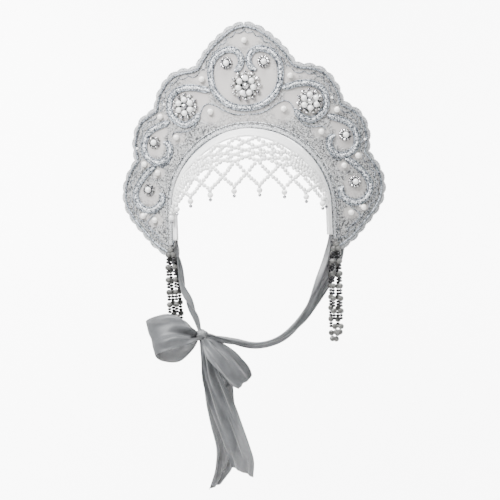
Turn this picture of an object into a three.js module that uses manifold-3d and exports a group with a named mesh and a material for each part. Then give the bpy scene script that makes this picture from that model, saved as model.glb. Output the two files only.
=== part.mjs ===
// Kokoshnik headdress: a stiff bent crest with a horseshoe arch, a satin headband in the arch,
// silver gimp scrolls, pearls, a forehead net, two side strings and ribbon ties.
// Millimetres, +Z up, +X to the wearer's left, -Y to the front. The origin is the underside of
// the headband at the top of the arch, where it sits on a crown.
import * as THREE from 'three';
import { mergeVertices } from 'three/addons/utils/BufferGeometryUtils.js';
import Module from 'manifold-3d';

const wasm = await Module();
wasm.setup();

// Clearance between pieces that seat on each other
const seatGap = 0.3;

// Crest panel
const crestHalfWidth = 123.5;
const crestRise = 98.4; // arch top to the crest's point
const crestDrop = 115; // arch top to the two lowest tips
const crestWall = 3;
const bendRadius = 209; // the panel's front face, bent back about an upright axis
const archRadius = 75.5;

// Lace edging
const laceReach = 3.9;
const laceWall = 1;

// Headband
const bandWall = 2.5;
const bandDepth = 28; // how far it comes forward of the crest at the top
const bandDrop = 8.4; // arch top down to its front edge
const bandPuff = 2;

// The brow that the band's front edge and the net follow
const browInset = 4.3; // how far inside the arch the temples lie
const browFall = 53; // the front edge falls this far from the middle to the temples
const browTaperShare = 0.31; // half width lost for each millimetre above the temples
const browWrap = 34; // how far the temples lie behind the brow
const browSwellShare = 0.16; // the forehead comes forward this much for each millimetre of fall

// Gimp, piping and pearls
const gimpWidth = 6.4;
const gimpHeight = 2;
const pipingRadius = 1.6;
const pearlRadius = 2.9;
const beadRadius = 2.1;
const rosetteRadius = 6;
const centreFlowerRadius = 14;
const sideFlowerRadius = 11.6;
const centreRingShare = 0.5; // of the flower's radius, out to its ring of pearls
const sideRingShare = 0.58;
const flowerBaseHeight = 1.6;

// Forehead net
const netHang = 50;
const netShrink = 33; // hang lost from the middle to the temples
const netWall = 3.2;
const netPitch = 20; // degrees round the brow from one drop to the next
const netColumns = 8;
const dropPearlRadius = 2.9;
const dropBeadRadius = 1.75;

// Side strings
const stringLength = 94;
const stringRadius = 2.3;
const stringGap = 6.4;
const stringPearlRadius = 3.2;

// Ribbon
const ribbonWidth = 42;
const ribbonWall = 1;
const knotDrop = 194; // arch top down to the knot
const knotOut = 50.5;
const knotForward = 12;
const knotRadius = 5;
const bowLength = 53;
const droopLength = 62;
const tailLength = 147;

// Worked out from the sizes above
const archTop = seatGap + bandWall;
const archCentre = archTop - archRadius;
const browHalfWidth = archRadius - browInset;
const tipSeat = { across: 0.632, up: -0.982 }; // where a side string hangs
const strapSpread = tipSeat.across * crestHalfWidth - stringGap / 6; // just inside the string

// Half outline of the panel from the crest's point down to the tip, a list for each lobe,
// as shares of the half width and of the rise or drop
const crestLobes = [
  [
    { across: 0.0, up: 1.0 }, { across: 0.097, up: 0.961 }, { across: 0.19, up: 0.877 },
    { across: 0.271, up: 0.78 }, { across: 0.332, up: 0.677 }, { across: 0.368, up: 0.602 },
  ],
  [
    { across: 0.368, up: 0.602 }, { across: 0.421, up: 0.578 }, { across: 0.518, up: 0.563 },
    { across: 0.599, up: 0.514 }, { across: 0.66, up: 0.421 }, { across: 0.699, up: 0.316 },
    { across: 0.713, up: 0.212 },
  ],
  [
    { across: 0.713, up: 0.212 }, { across: 0.777, up: 0.171 }, { across: 0.845, up: 0.108 },
    { across: 0.883, up: 0.021 }, { across: 0.901, up: -0.073 }, { across: 0.898, up: -0.16 },
    { across: 0.887, up: -0.225 },
  ],
  [
    { across: 0.887, up: -0.225 }, { across: 0.957, up: -0.33 }, { across: 0.998, up: -0.447 },
    { across: 0.996, up: -0.569 }, { across: 0.951, up: -0.682 }, { across: 0.858, up: -0.808 },
    { across: 0.761, up: -0.925 }, { across: 0.668, up: -0.999 },
  ],
];
const heel = { across: 0.58, up: -0.917 };

// Half of the heart, from the curl under the top pearls round to its foot
const heartRun = [
  { across: 0.087, up: 0.565 }, { across: 0.053, up: 0.585 }, { across: 0.031, up: 0.631 },
  { across: 0.031, up: 0.692 }, { across: 0.065, up: 0.75 }, { across: 0.127, up: 0.771 },
  { across: 0.198, up: 0.736 }, { across: 0.249, up: 0.667 }, { across: 0.27, up: 0.575 },
  { across: 0.267, up: 0.479 }, { across: 0.245, up: 0.382 }, { across: 0.198, up: 0.301 },
  { across: 0.138, up: 0.242 }, { across: 0.069, up: 0.209 }, { across: 0.0, up: 0.199 },
];
const scrollRuns = {
  upper_scroll: [
    { across: 0.245, up: 0.375 }, { across: 0.34, up: 0.4 }, { across: 0.413, up: 0.421 },
    { across: 0.487, up: 0.419 }, { across: 0.549, up: 0.39 }, { across: 0.591, up: 0.334 },
    { across: 0.607, up: 0.247 }, { across: 0.593, up: 0.166 }, { across: 0.545, up: 0.098 },
    { across: 0.49, up: 0.065 }, { across: 0.437, up: 0.083 }, { across: 0.393, up: 0.124 },
    { across: 0.368, up: 0.174 },
  ],
  middle_scroll: [
    { across: 0.58, up: 0.135 }, { across: 0.611, up: 0.098 }, { across: 0.683, up: 0.071 },
    { across: 0.76, up: 0.027 }, { across: 0.805, up: -0.032 }, { across: 0.824, up: -0.103 },
    { across: 0.815, up: -0.173 }, { across: 0.773, up: -0.225 }, { across: 0.7, up: -0.247 },
    { across: 0.636, up: -0.208 }, { across: 0.614, up: -0.151 }, { across: 0.628, up: -0.099 },
    { across: 0.664, up: -0.082 },
  ],
  lower_scroll: [
    { across: 0.7, up: -0.245 }, { across: 0.733, up: -0.277 }, { across: 0.785, up: -0.308 },
    { across: 0.838, up: -0.36 }, { across: 0.883, up: -0.425 }, { across: 0.911, up: -0.495 },
    { across: 0.899, up: -0.569 }, { across: 0.854, up: -0.621 }, { across: 0.798, up: -0.641 },
    { across: 0.741, up: -0.621 }, { across: 0.699, up: -0.577 }, { across: 0.691, up: -0.53 },
    { across: 0.711, up: -0.506 },
  ],
};

// Sewn-on stones, as shares of the crest
const topPearl = { across: 0.0, up: 0.854 };
const pairedPearls = [
  { across: 0.339, up: 0.496 }, { across: 0.281, up: 0.179 }, { across: 0.557, up: -0.046 },
  { across: 0.68, up: 0.155 }, { across: 0.824, up: -0.254 }, { across: 0.717, up: -0.332 },
  { across: 0.85, up: -0.684 }, { across: 0.756, up: -0.725 },
];
const rosetteSpots = [
  { across: 0.143, up: 0.641 }, { across: 0.737, up: -0.078 }, { across: 0.797, up: -0.469 },
];
const centreFlowerSpot = { across: 0.0, up: 0.413 };
const sideFlowerSpot = { across: 0.479, up: 0.242 };

// Where the strands of the net cross: on a drop's column and on the column between two drops,
// as shares of the hang
const dropColumnShares = [0, 0.18, 0.31, 0.44, 0.92];
const betweenColumnShares = [0.09, 0.245, 0.375, 0.69];
const smallGapShare = 0.46;
const kiteGapShare = 0.6;
const largeGapShare = 0.74;

// Ribbon ties. out is a share of the strap spread, back of its setback behind the panel, down of
// the knot's drop, turn is degrees beyond the panel's slope, width a share of the ribbon's
const strapRightRun = [
  { out: 1.0, back: 1.0, down: 0.512, turn: 0, width: 0.57 },
  { out: 0.994, back: 1.02, down: 0.574, turn: 2, width: 0.57 },
  { out: 0.974, back: 1.04, down: 0.652, turn: 28, width: 0.62 },
  { out: 0.883, back: 0.83, down: 0.749, turn: 36, width: 0.64 },
  { out: 0.721, back: 0.42, down: 0.858, turn: 58, width: 0.62 },
  { out: 0.545, back: 0.0, down: 0.961, turn: 66, width: 0.59 },
  { out: 0.312, back: -0.36, down: 1.033, turn: 68, width: 0.57 },
  { out: 0.026, back: -0.52, down: 1.059, turn: 68, width: 0.57 },
  { out: -0.26, back: -0.5, down: 1.04, turn: 68, width: 0.46 },
  { out: -0.494, back: -0.5, down: 1.012, turn: 68, width: 0.3 },
  { out: -0.61, back: -0.56, down: 0.998, turn: 68, width: 0.14 },
];
const strapLeftRun = [
  { out: 1.0, back: 1.0, down: 0.512, turn: 0, width: 0.57 },
  { out: 0.994, back: 1.02, down: 0.574, turn: 2, width: 0.57 },
  { out: 0.955, back: 0.94, down: 0.657, turn: 50, width: 0.59 },
  { out: 0.883, back: 0.57, down: 0.78, turn: 62, width: 0.52 },
  { out: 0.747, back: 0.0, down: 0.899, turn: 66, width: 0.38 },
  { out: 0.676, back: -0.5, down: 0.975, turn: 68, width: 0.16 },
];

// Bow loops and tails, from the knot. along, front and rise are shares of the piece's length,
// width a share of the ribbon's, turn and tilt are degrees
const bowRun = [
  { along: 0.094, front: 0.06, rise: 0.0, width: 0.2 },
  { along: 0.226, front: 0.21, rise: 0.0, width: 0.64 },
  { along: 0.49, front: 0.3, rise: 0.0, width: 0.96 },
  { along: 0.79, front: 0.245, rise: -0.03, width: 1.0 },
  { along: 0.972, front: 0.04, rise: -0.05, width: 0.86 },
  { along: 0.83, front: -0.17, rise: 0.0, width: 0.98 },
  { along: 0.49, front: -0.21, rise: 0.03, width: 0.88 },
  { along: 0.226, front: -0.12, rise: 0.02, width: 0.55 },
  { along: 0.094, front: -0.06, rise: 0.0, width: 0.18 },
];
const droopRun = [
  { along: 0.08, front: 0.07, rise: 0.0, width: 0.17 },
  { along: 0.26, front: 0.15, rise: 0.0, width: 0.55 },
  { along: 0.55, front: 0.2, rise: 0.02, width: 0.8 },
  { along: 0.84, front: 0.15, rise: 0.0, width: 0.85 },
  { along: 0.97, front: 0.02, rise: -0.01, width: 0.8 },
  { along: 0.84, front: -0.09, rise: -0.01, width: 0.8 },
  { along: 0.55, front: -0.12, rise: 0.0, width: 0.7 },
  { along: 0.26, front: -0.08, rise: 0.0, width: 0.45 },
  { along: 0.08, front: -0.03, rise: 0.0, width: 0.15 },
];
const droopAngle = -49;
const droopTurn = 50;
const tailLeftRun = [
  { out: 0.01, front: -0.02, down: 0.05, turn: 10, tilt: 0, width: 0.18 },
  { out: 0.05, front: -0.05, down: 0.14, turn: 14, tilt: 0, width: 0.45 },
  { out: 0.085, front: -0.06, down: 0.24, turn: 18, tilt: 0, width: 0.68 },
  { out: 0.1, front: -0.05, down: 0.43, turn: 18, tilt: 0, width: 0.68 },
  { out: 0.125, front: -0.03, down: 0.59, turn: 20, tilt: 0, width: 0.66 },
  { out: 0.132, front: -0.02, down: 0.72, turn: 22, tilt: 3, width: 0.52 },
  { out: 0.11, front: -0.03, down: 0.84, turn: 22, tilt: 8, width: 0.42 },
  { out: 0.078, front: -0.05, down: 0.92, turn: 18, tilt: 15, width: 0.34 },
  { out: 0.044, front: -0.06, down: 0.985, turn: 12, tilt: 24, width: 0.3 },
];
const tailRightRun = [
  { out: 0.02, front: 0.035, down: 0.06, turn: -6, tilt: 0, width: 0.16 },
  { out: 0.045, front: 0.055, down: 0.16, turn: -10, tilt: 0, width: 0.32 },
  { out: 0.07, front: 0.06, down: 0.28, turn: -12, tilt: 0, width: 0.48 },
  { out: 0.115, front: 0.06, down: 0.43, turn: -14, tilt: 0, width: 0.6 },
  { out: 0.16, front: 0.07, down: 0.58, turn: -16, tilt: 0, width: 0.64 },
  { out: 0.205, front: 0.08, down: 0.72, turn: -18, tilt: -4, width: 0.66 },
  { out: 0.23, front: 0.08, down: 0.8, turn: -16, tilt: -12, width: 0.64 },
  { out: 0.24, front: 0.07, down: 0.89, turn: -12, tilt: -25, width: 0.56 },
];

const material = (color, roughness, metalness) =>
  new THREE.MeshStandardMaterial({ color, roughness, metalness });
const fabricMaterial = material(0xe9e3df, 0.8, 0);
const laceMaterial = material(0xd7d9db, 0.6, 0.2);
const satinMaterial = material(0xf4f3f1, 0.45, 0);
const gimpMaterial = material(0xbcc4cc, 0.4, 0.6);
const pearlMaterial = material(0xf3f0ea, 0.25, 0);
const silverMaterial = material(0xb9bbbd, 0.3, 0.9);
const ribbonMaterial = material(0xd5d8da, 0.5, 0);

const headdress = new THREE.Group();

function addMesh(name, geometry, meshMaterial) {
  const mesh = new THREE.Mesh(geometry, meshMaterial);
  mesh.name = name;
  headdress.add(mesh);
  return mesh;
}

// Height of a share of the crest above or below the arch's top
function crestHeight(share) {
  return archTop + share * (share >= 0 ? crestRise : crestDrop);
}

function crestSpot(row, side = 1) {
  return new THREE.Vector2(side * row.across * crestHalfWidth, crestHeight(row.up));
}

// A point seen from the front at x, z, carried onto the bent panel and lifted off its front face
function onCrest(x, z, lift) {
  const angle = Math.asin(x / bendRadius);
  const radius = bendRadius + lift;
  return new THREE.Vector3(radius * Math.sin(angle), bendRadius - radius * Math.cos(angle), z);
}

function smoothRun(points, steps) {
  return new THREE.SplineCurve(points).getSpacedPoints(steps);
}

// Joins sections, each a loop of points whose first half faces its second half, into a closed skin
function skin(sections) {
  const count = sections[0].length;
  const positions = sections.flat().flatMap((point) => point.toArray());
  const index = [];
  for (let s = 0; s < sections.length - 1; s += 1) {
    for (let i = 0; i < count; i += 1) {
      const next = (i + 1) % count;
      const a = s * count + i;
      const b = s * count + next;
      index.push(a, b, b + count, a, b + count, a + count);
    }
  }
  const last = (sections.length - 1) * count;
  for (let i = 0; i < count / 2 - 1; i += 1) {
    const j = count - 1 - i;
    index.push(i, j, j - 1, i, j - 1, i + 1);
    index.push(last + i, last + j - 1, last + j, last + i, last + i + 1, last + j - 1);
  }
  const geometry = new THREE.BufferGeometry();
  geometry.setAttribute('position', new THREE.Float32BufferAttribute(positions, 3));
  geometry.setIndex(signedVolume(positions, index) < 0 ? index.reverse() : index);
  geometry.computeVertexNormals();
  return geometry;
}

function signedVolume(positions, index) {
  const corner = (i) => new THREE.Vector3().fromArray(positions, 3 * i);
  let volume = 0;
  for (let t = 0; t < index.length; t += 3) {
    volume += corner(index[t]).dot(corner(index[t + 1]).cross(corner(index[t + 2])));
  }
  return volume;
}

function toSolid(geometry) {
  const bare = geometry.clone();
  bare.deleteAttribute('normal');
  bare.deleteAttribute('uv');
  const merged = mergeVertices(bare, 1e-4);
  const vertProperties = new Float32Array(merged.attributes.position.array);
  const triVerts = new Uint32Array(merged.index.array);
  return new wasm.Manifold(new wasm.Mesh({ numProp: 3, vertProperties, triVerts }));
}

function toGeometry(solid) {
  const mesh = solid.simplify(0.01).getMesh();
  const geometry = new THREE.BufferGeometry();
  geometry.setAttribute('position', new THREE.Float32BufferAttribute(mesh.vertProperties, 3));
  geometry.setIndex(Array.from(mesh.triVerts));
  geometry.computeVertexNormals();
  return geometry;
}

// A slab between two lifts off the panel's front face, wider and taller than the crest
function bentSlab(frontLift, backLift) {
  const facets = 22;
  const halfAngle = Math.asin((crestHalfWidth + 3 * laceReach) / (bendRadius - crestWall));
  const arc = (lift, i) => {
    const angle = halfAngle * ((2 * i) / facets - 1);
    const radius = bendRadius + lift;
    return new THREE.Vector2(radius * Math.sin(angle), bendRadius - radius * Math.cos(angle));
  };
  const steps = Array.from({ length: facets + 1 }, (_, i) => i);
  const plan = steps.map((i) => arc(frontLift, i));
  plan.push(...steps.reverse().map((i) => arc(backLift, i)));
  const margin = 3 * laceReach;
  const depth = crestRise + crestDrop + 2 * margin;
  const slab = new THREE.ExtrudeGeometry(new THREE.Shape(plan), { depth, bevelEnabled: false });
  slab.translate(0, 0, archTop - crestDrop - margin);
  return toSolid(slab);
}

// Front-view outline carried right through the headdress from front to back
function frontCut(points) {
  const shape = new THREE.Shape(points);
  const cut = new THREE.ExtrudeGeometry(shape, { depth: 2 * bendRadius, bevelEnabled: false });
  cut.rotateX(Math.PI / 2);
  cut.translate(0, bendRadius, 0);
  return toSolid(cut);
}

const lobeSteps = [8, 8, 7, 10];

function lobePoints(lobe, side) {
  return smoothRun(crestLobes[lobe].map((row) => crestSpot(row, side)), lobeSteps[lobe]);
}

// The whole outline from the right heel over the top to the left heel, moved out by grow
function crestOutline(grow) {
  const half = crestLobes.flatMap((_, lobe) => lobePoints(lobe, 1).slice(lobe ? 1 : 0));
  const right = [...half, crestSpot(heel)];
  const left = right.slice(1).map((point) => new THREE.Vector2(-point.x, point.y));
  return offsetLoop([...right.reverse(), ...left], grow);
}

// Moves each corner of a counter-clockwise loop outwards
function offsetLoop(points, distance) {
  return points.map((point, i) => {
    const before = points[(i + points.length - 1) % points.length];
    const after = points[(i + 1) % points.length];
    const normal = outwardNormal(before, point).add(outwardNormal(point, after)).normalize();
    return point.clone().addScaledVector(normal, distance);
  });
}

function outwardNormal(from, to) {
  const along = to.clone().sub(from);
  return new THREE.Vector2(along.y, -along.x).normalize();
}

// The horseshoe arch: a half circle on two straight legs
function archLoop(radius) {
  const facets = 28;
  const foot = archTop - crestDrop - laceReach;
  const points = [new THREE.Vector2(-radius, foot), new THREE.Vector2(radius, foot)];
  for (let i = 0; i <= facets; i += 1) {
    const angle = (Math.PI * i) / facets;
    points.push(new THREE.Vector2(radius * Math.cos(angle), archCentre + radius * Math.sin(angle)));
  }
  return points;
}

function buildCrest() {
  const panel = bentSlab(0, -crestWall).intersect(frontCut(crestOutline(0)));
  return panel.subtract(frontCut(archLoop(archRadius)));
}

// One lobe of lace: the lobe's curve moved out by the lace's reach, closed to a point inside
function laceLobe(curve, side, inside) {
  const edge = curve.map((point, i) => {
    const before = curve[Math.max(i - 1, 0)];
    const after = curve[Math.min(i + 1, curve.length - 1)];
    return point.clone().addScaledVector(outwardNormal(before, after), -side * laceReach);
  });
  return frontCut([...edge, inside]);
}

function buildLace() {
  const top = [...lobePoints(0, -1).slice(1).reverse(), ...lobePoints(0, 1)];
  let reach = laceLobe(top, 1, new THREE.Vector2(0, archTop));
  for (const side of [1, -1]) {
    const inside = new THREE.Vector2(side * 0.4 * crestHalfWidth, archTop - 0.1 * crestDrop);
    for (const lobe of [1, 2, 3]) reach = reach.add(laceLobe(lobePoints(lobe, side), side, inside));
  }
  const depth = (crestWall - laceWall) / 2;
  const lace = bentSlab(-depth, -depth - laceWall).intersect(reach);
  const strips = lace.subtract(frontCut(crestOutline(seatGap))).decompose();
  return strips.sort((a, b) => b.volume() - a.volume())[0];
}

// A raised rib along a front-view run, lying on the panel's face
function rib(run, width, height, grow = 0) {
  const topShare = 0.55;
  const sections = run.map((point, i) => {
    const before = run[Math.max(i - 1, 0)];
    const after = run[Math.min(i + 1, run.length - 1)];
    const across = outwardNormal(before, after);
    const end = i === 0 || i === run.length - 1 ? 0.7 : 1;
    const half = end * (width / 2) + grow;
    const spot = (share, lift) => {
      const x = point.x + across.x * half * share;
      const z = point.y + across.y * half * share;
      return onCrest(x, z, lift);
    };
    const floor = seatGap - grow;
    const top = seatGap + height + grow;
    return [spot(-1, floor), spot(-topShare, top), spot(topShare, top), spot(1, floor)];
  });
  return skin(sections);
}

function scrollRun(name, side) {
  return smoothRun(scrollRuns[name].map((row) => crestSpot(row, side)), 22);
}

function heartPoints() {
  const right = heartRun.map((row) => crestSpot(row, 1));
  const left = heartRun.slice(0, -1).reverse().map((row) => crestSpot(row, -1));
  return smoothRun([...right, ...left], 56);
}

// Round bead with its axis upright, cut flat where it sits
function beadGeometry(radius, centre, floor, rings = 2) {
  const sides = 10;
  const lowest = Math.asin(Math.max((floor - centre) / radius, -1));
  const profile = [new THREE.Vector2(0, Math.max(floor, centre - radius))];
  for (let i = 0; i < rings; i += 1) {
    const angle = lowest + ((Math.PI / 2 - lowest) * i) / rings;
    const ring = new THREE.Vector2(radius * Math.cos(angle), centre + radius * Math.sin(angle));
    if (ring.x > radius / 100) profile.push(ring);
  }
  profile.push(new THREE.Vector2(0, centre + radius));
  return new THREE.LatheGeometry(profile, sides).rotateX(Math.PI / 2);
}

// Turns a piece that stands on z = 0 to stand on the panel's face at a spot
function seatOnCrest(mesh, spot) {
  const foot = onCrest(spot.x, spot.y, 0);
  const normal = onCrest(spot.x, spot.y, 1).sub(foot);
  mesh.position.copy(foot);
  mesh.quaternion.setFromUnitVectors(new THREE.Vector3(0, 0, 1), normal);
}

function sewnPearl() {
  return beadGeometry(pearlRadius, seatGap + 0.75 * pearlRadius, seatGap, 3);
}

// Silver base with its stones fused to it: one in the middle, the rest in a ring
function stoneCluster(baseRadius, middleRadius, ringCount, ringRadius) {
  const base = new THREE.CylinderGeometry(0.86 * baseRadius, baseRadius, flowerBaseHeight, 14);
  base.rotateX(Math.PI / 2).translate(0, 0, seatGap + flowerBaseHeight / 2);
  const floor = seatGap + flowerBaseHeight / 2;
  let cluster = toSolid(base);
  cluster = cluster.add(toSolid(beadGeometry(middleRadius, floor + middleRadius, floor)));
  for (let i = 0; i < ringCount; i += 1) {
    const angle = (2 * Math.PI * i) / ringCount;
    const stone = beadGeometry(pearlRadius, floor + 0.8 * pearlRadius, floor);
    stone.translate(ringRadius * Math.cos(angle), ringRadius * Math.sin(angle), 0);
    cluster = cluster.add(toSolid(stone));
  }
  return toGeometry(cluster);
}

// Height of the band's front edge at an angle round the brow
function browEdge(angle) {
  return archTop - bandDrop - browFall * (1 - Math.cos(angle));
}

// A point of the brow at an angle round it and a fall below the band's front edge
function browPoint(angle, fall, lift = 0) {
  const z = browEdge(angle) - fall;
  const halfWidth = browHalfWidth - browTaperShare * (z - browEdge(Math.PI / 2));
  const x = halfWidth * Math.sin(angle);
  const y = -bandDepth + browWrap * (1 - Math.cos(angle)) - browSwellShare * fall;
  const normal = new THREE.Vector2(browWrap * Math.sin(angle), -halfWidth * Math.cos(angle));
  normal.normalize();
  return new THREE.Vector3(x + lift * normal.x, y + lift * normal.y, z);
}

// The band's section at a place along the arch: outer face back to front, inner face front to back
function bandSection(rim, edge) {
  const centre = new THREE.Vector3(0, rim.y, Math.min(archCentre, rim.z));
  const outward = rim.clone().sub(centre).setY(0).normalize();
  const middle = rim.clone().lerp(edge, 0.5).addScaledVector(outward, bandPuff);
  const inner = (point) => point.clone().addScaledVector(outward, -bandWall);
  const frontOuter = edge.clone().addScaledVector(outward, bandWall);
  return [rim, middle, frontOuter, edge, inner(middle), inner(rim)];
}

function buildHeadband() {
  const rimRadius = archRadius - seatGap;
  const legSteps = 4;
  const arcSteps = 28;
  const foot = crestHeight(heel.up) + bandPuff;
  const rimPoint = (x, z) => {
    const back = onCrest(x, z, -crestWall);
    return new THREE.Vector3(x, back.y, z);
  };
  const leg = (side, i) => {
    const fall = i / legSteps;
    const rim = rimPoint(side * rimRadius, THREE.MathUtils.lerp(archCentre, foot, fall));
    const temple = browPoint((side * Math.PI) / 2, 0);
    temple.z = THREE.MathUtils.lerp(temple.z, foot, fall);
    return bandSection(rim, temple);
  };
  const sections = [];
  for (let i = legSteps; i > 0; i -= 1) sections.push(leg(1, i));
  for (let i = 0; i <= arcSteps; i += 1) {
    const angle = Math.PI / 2 - (Math.PI * i) / arcSteps;
    const x = rimRadius * Math.sin(angle);
    const rim = rimPoint(x, archCentre + rimRadius * Math.cos(angle));
    sections.push(bandSection(rim, browPoint(angle, 0)));
  }
  for (let i = 1; i <= legSteps; i += 1) sections.push(leg(-1, i));
  return skin(sections);
}

function tubeAlong(points, radius, sides, steps) {
  const section = [];
  for (let i = 0; i < sides; i += 1) {
    const angle = (2 * Math.PI * i) / sides;
    section.push(new THREE.Vector2(radius * Math.cos(angle), radius * Math.sin(angle)));
  }
  const extrudePath = new THREE.CatmullRomCurve3(points);
  return new THREE.ExtrudeGeometry(new THREE.Shape(section), { extrudePath, steps });
}

function buildPiping() {
  const radius = archRadius + seatGap + pipingRadius;
  const loop = archLoop(radius).slice(2);
  const foot = crestHeight(heel.up) + 2 * pipingRadius;
  const run = [new THREE.Vector2(radius, foot), ...loop, new THREE.Vector2(-radius, foot)];
  const lift = seatGap + pipingRadius;
  return tubeAlong(run.map((point) => onCrest(point.x, point.y, lift)), pipingRadius, 6, 36);
}

// The net as a lattice of rhombs, each with a gap cut through it
function buildNet() {
  const pitch = THREE.MathUtils.degToRad(netPitch);
  const vertices = [];
  const known = new Map();
  const faces = [];
  const edges = new Map();
  const addPoint = (front, back) => vertices.push(front, back) / 2 - 1;
  const netPoint = (column, share) => {
    const angle = (column * pitch) / 2;
    const fall = seatGap + share * (netHang - netShrink * (1 - Math.cos(angle)));
    return [browPoint(angle, fall, netWall / 2), browPoint(angle, fall, -netWall / 2)];
  };
  const crossing = (column, share) => {
    const key = `${column} ${share}`;
    if (!known.has(key)) known.set(key, addPoint(...netPoint(column, share)));
    return known.get(key);
  };
  const quad = (a, b, c, d) => faces.push(a, b, c, a, c, d);
  const addRhomb = (corners, gapShare) => {
    const middle = [new THREE.Vector3(), new THREE.Vector3()];
    corners.forEach((corner) => {
      middle[0].addScaledVector(vertices[2 * corner], 1 / 4);
      middle[1].addScaledVector(vertices[2 * corner + 1], 1 / 4);
    });
    const rim = corners.map((corner) => addPoint(
      middle[0].clone().lerp(vertices[2 * corner], gapShare),
      middle[1].clone().lerp(vertices[2 * corner + 1], gapShare),
    ));
    corners.forEach((corner, i) => {
      const next = (i + 1) % 4;
      const [a, b, c, d] = [corner, corners[next], rim[next], rim[i]].map((p) => 2 * p);
      quad(a, b, c, d);
      quad(a + 1, d + 1, c + 1, b + 1);
      quad(d, c, c + 1, d + 1);
      const key = [corner, corners[next]].sort((p, q) => p - q).join(' ');
      if (edges.has(key)) edges.delete(key);
      else edges.set(key, [b, a]);
    });
  };
  const addColumn = (column, own, beside, shift, gaps) => {
    for (let j = 0; j < own.length - 1; j += 1) {
      const side = beside[j + shift];
      addRhomb([
        crossing(column, own[j]), crossing(column - 1, side),
        crossing(column, own[j + 1]), crossing(column + 1, side),
      ], gaps[j]);
    }
  };
  const small = smallGapShare;
  for (let i = 0; i < netColumns; i += 1) {
    const column = 2 * i + 1 - netColumns;
    const gaps = [small, small, small, largeGapShare];
    addColumn(column, dropColumnShares, betweenColumnShares, 0, gaps);
    const between = [small, small, kiteGapShare];
    if (i > 0) addColumn(column - 1, betweenColumnShares, dropColumnShares, 1, between);
  }
  edges.forEach(([a, b]) => quad(b + 1, a + 1, a, b));
  let net = toSolid(closedGeometry(vertices, faces));
  const lastDrop = dropColumnShares.at(-1);
  for (let column = 1 - netColumns; column <= netColumns; column += 2) {
    if (column < netColumns) net = net.add(netDrop(netPoint(column, lastDrop)));
  }
  for (const side of [-1, 1]) {
    net = net.add(netDrop(netPoint(side * netColumns, betweenColumnShares.at(-1))));
  }
  return toGeometry(net);
}

function closedGeometry(vertices, faces) {
  const positions = vertices.flatMap((point) => point.toArray());
  const geometry = new THREE.BufferGeometry();
  geometry.setAttribute('position', new THREE.Float32BufferAttribute(positions, 3));
  geometry.setIndex(signedVolume(positions, faces) < 0 ? faces.reverse() : faces);
  return geometry;
}

// A large pearl and a small bead hung under a crossing of the net
function netDrop([front, back]) {
  const neck = 0.5 * netWall;
  const pearl = -neck - dropPearlRadius;
  const bead = pearl - dropPearlRadius - dropBeadRadius;
  const profile = [
    new THREE.Vector2(0, bead - dropBeadRadius),
    new THREE.Vector2(dropBeadRadius, bead),
    new THREE.Vector2(0.5 * dropPearlRadius, pearl - 0.87 * dropPearlRadius),
    new THREE.Vector2(dropPearlRadius, pearl),
    new THREE.Vector2(0.5 * dropPearlRadius, pearl + 0.87 * dropPearlRadius),
    new THREE.Vector2(neck, neck),
    new THREE.Vector2(0, neck),
  ];
  const drop = new THREE.LatheGeometry(profile, 10).rotateX(Math.PI / 2);
  const foot = front.clone().lerp(back, 0.5);
  drop.translate(foot.x, foot.y, foot.z);
  return toSolid(drop);
}

// One hanging loop: two straight strands joined by a half circle, its section a hexagon
function stringLoop(top, behind, bottom) {
  const half = stringGap / 2;
  const turn = bottom + half;
  const stations = [];
  const addStation = (across, depth, z, angle) => stations.push({
    centre: new THREE.Vector3(top.x + across, top.y + depth, z),
    outward: new THREE.Vector3(-Math.cos(angle), 0, -Math.sin(angle)),
  });
  const start = top.z - 0.6 * stringPearlRadius;
  const straight = [[0.8, 0], [1, 0.06], [1, 0.5]];
  for (const [spread, share] of straight) {
    addStation(-spread * half, behind, THREE.MathUtils.lerp(start, turn, share), 0);
  }
  const facets = 6;
  for (let i = 0; i <= facets; i += 1) {
    const angle = (Math.PI * i) / facets;
    addStation(-half * Math.cos(angle), behind, turn - half * Math.sin(angle), angle);
  }
  for (const [spread, share] of straight.reverse()) {
    addStation(spread * half, behind, THREE.MathUtils.lerp(start, turn, share), Math.PI);
  }
  const sides = 6;
  return skin(stations.map(({ centre, outward }) => {
    const section = [];
    for (let i = 0; i < sides; i += 1) {
      const angle = (2 * Math.PI * (i + 0.5)) / sides;
      const point = centre.clone().addScaledVector(outward, stringRadius * Math.cos(angle));
      point.y += stringRadius * Math.sin(angle);
      section.push(point);
    }
    return section;
  }));
}

// Two hanging loops under a top pearl, one behind the other
function buildSideString(side) {
  const tip = crestSpot(tipSeat, side);
  const top = onCrest(tip.x, tip.y, seatGap + stringPearlRadius);
  const pearl = beadGeometry(stringPearlRadius, 0, -stringPearlRadius, 4);
  pearl.translate(top.x, top.y, top.z);
  const bottom = top.z - stringLength + stringRadius;
  const behind = stringRadius + seatGap / 2;
  return toGeometry(toSolid(pearl)
    .add(toSolid(stringLoop(top, -behind, bottom + stringGap)))
    .add(toSolid(stringLoop(top, behind, bottom))));
}

const knotCentre = new THREE.Vector3(-knotOut, -knotForward, archTop - knotDrop);

function knotGeometry(grow = 0) {
  const radius = knotRadius + grow;
  const geometry = new THREE.SphereGeometry(radius, 12, 8);
  geometry.scale(1.15, 1, 0.95);
  geometry.translate(knotCentre.x, knotCentre.y, knotCentre.z);
  return geometry;
}

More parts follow.
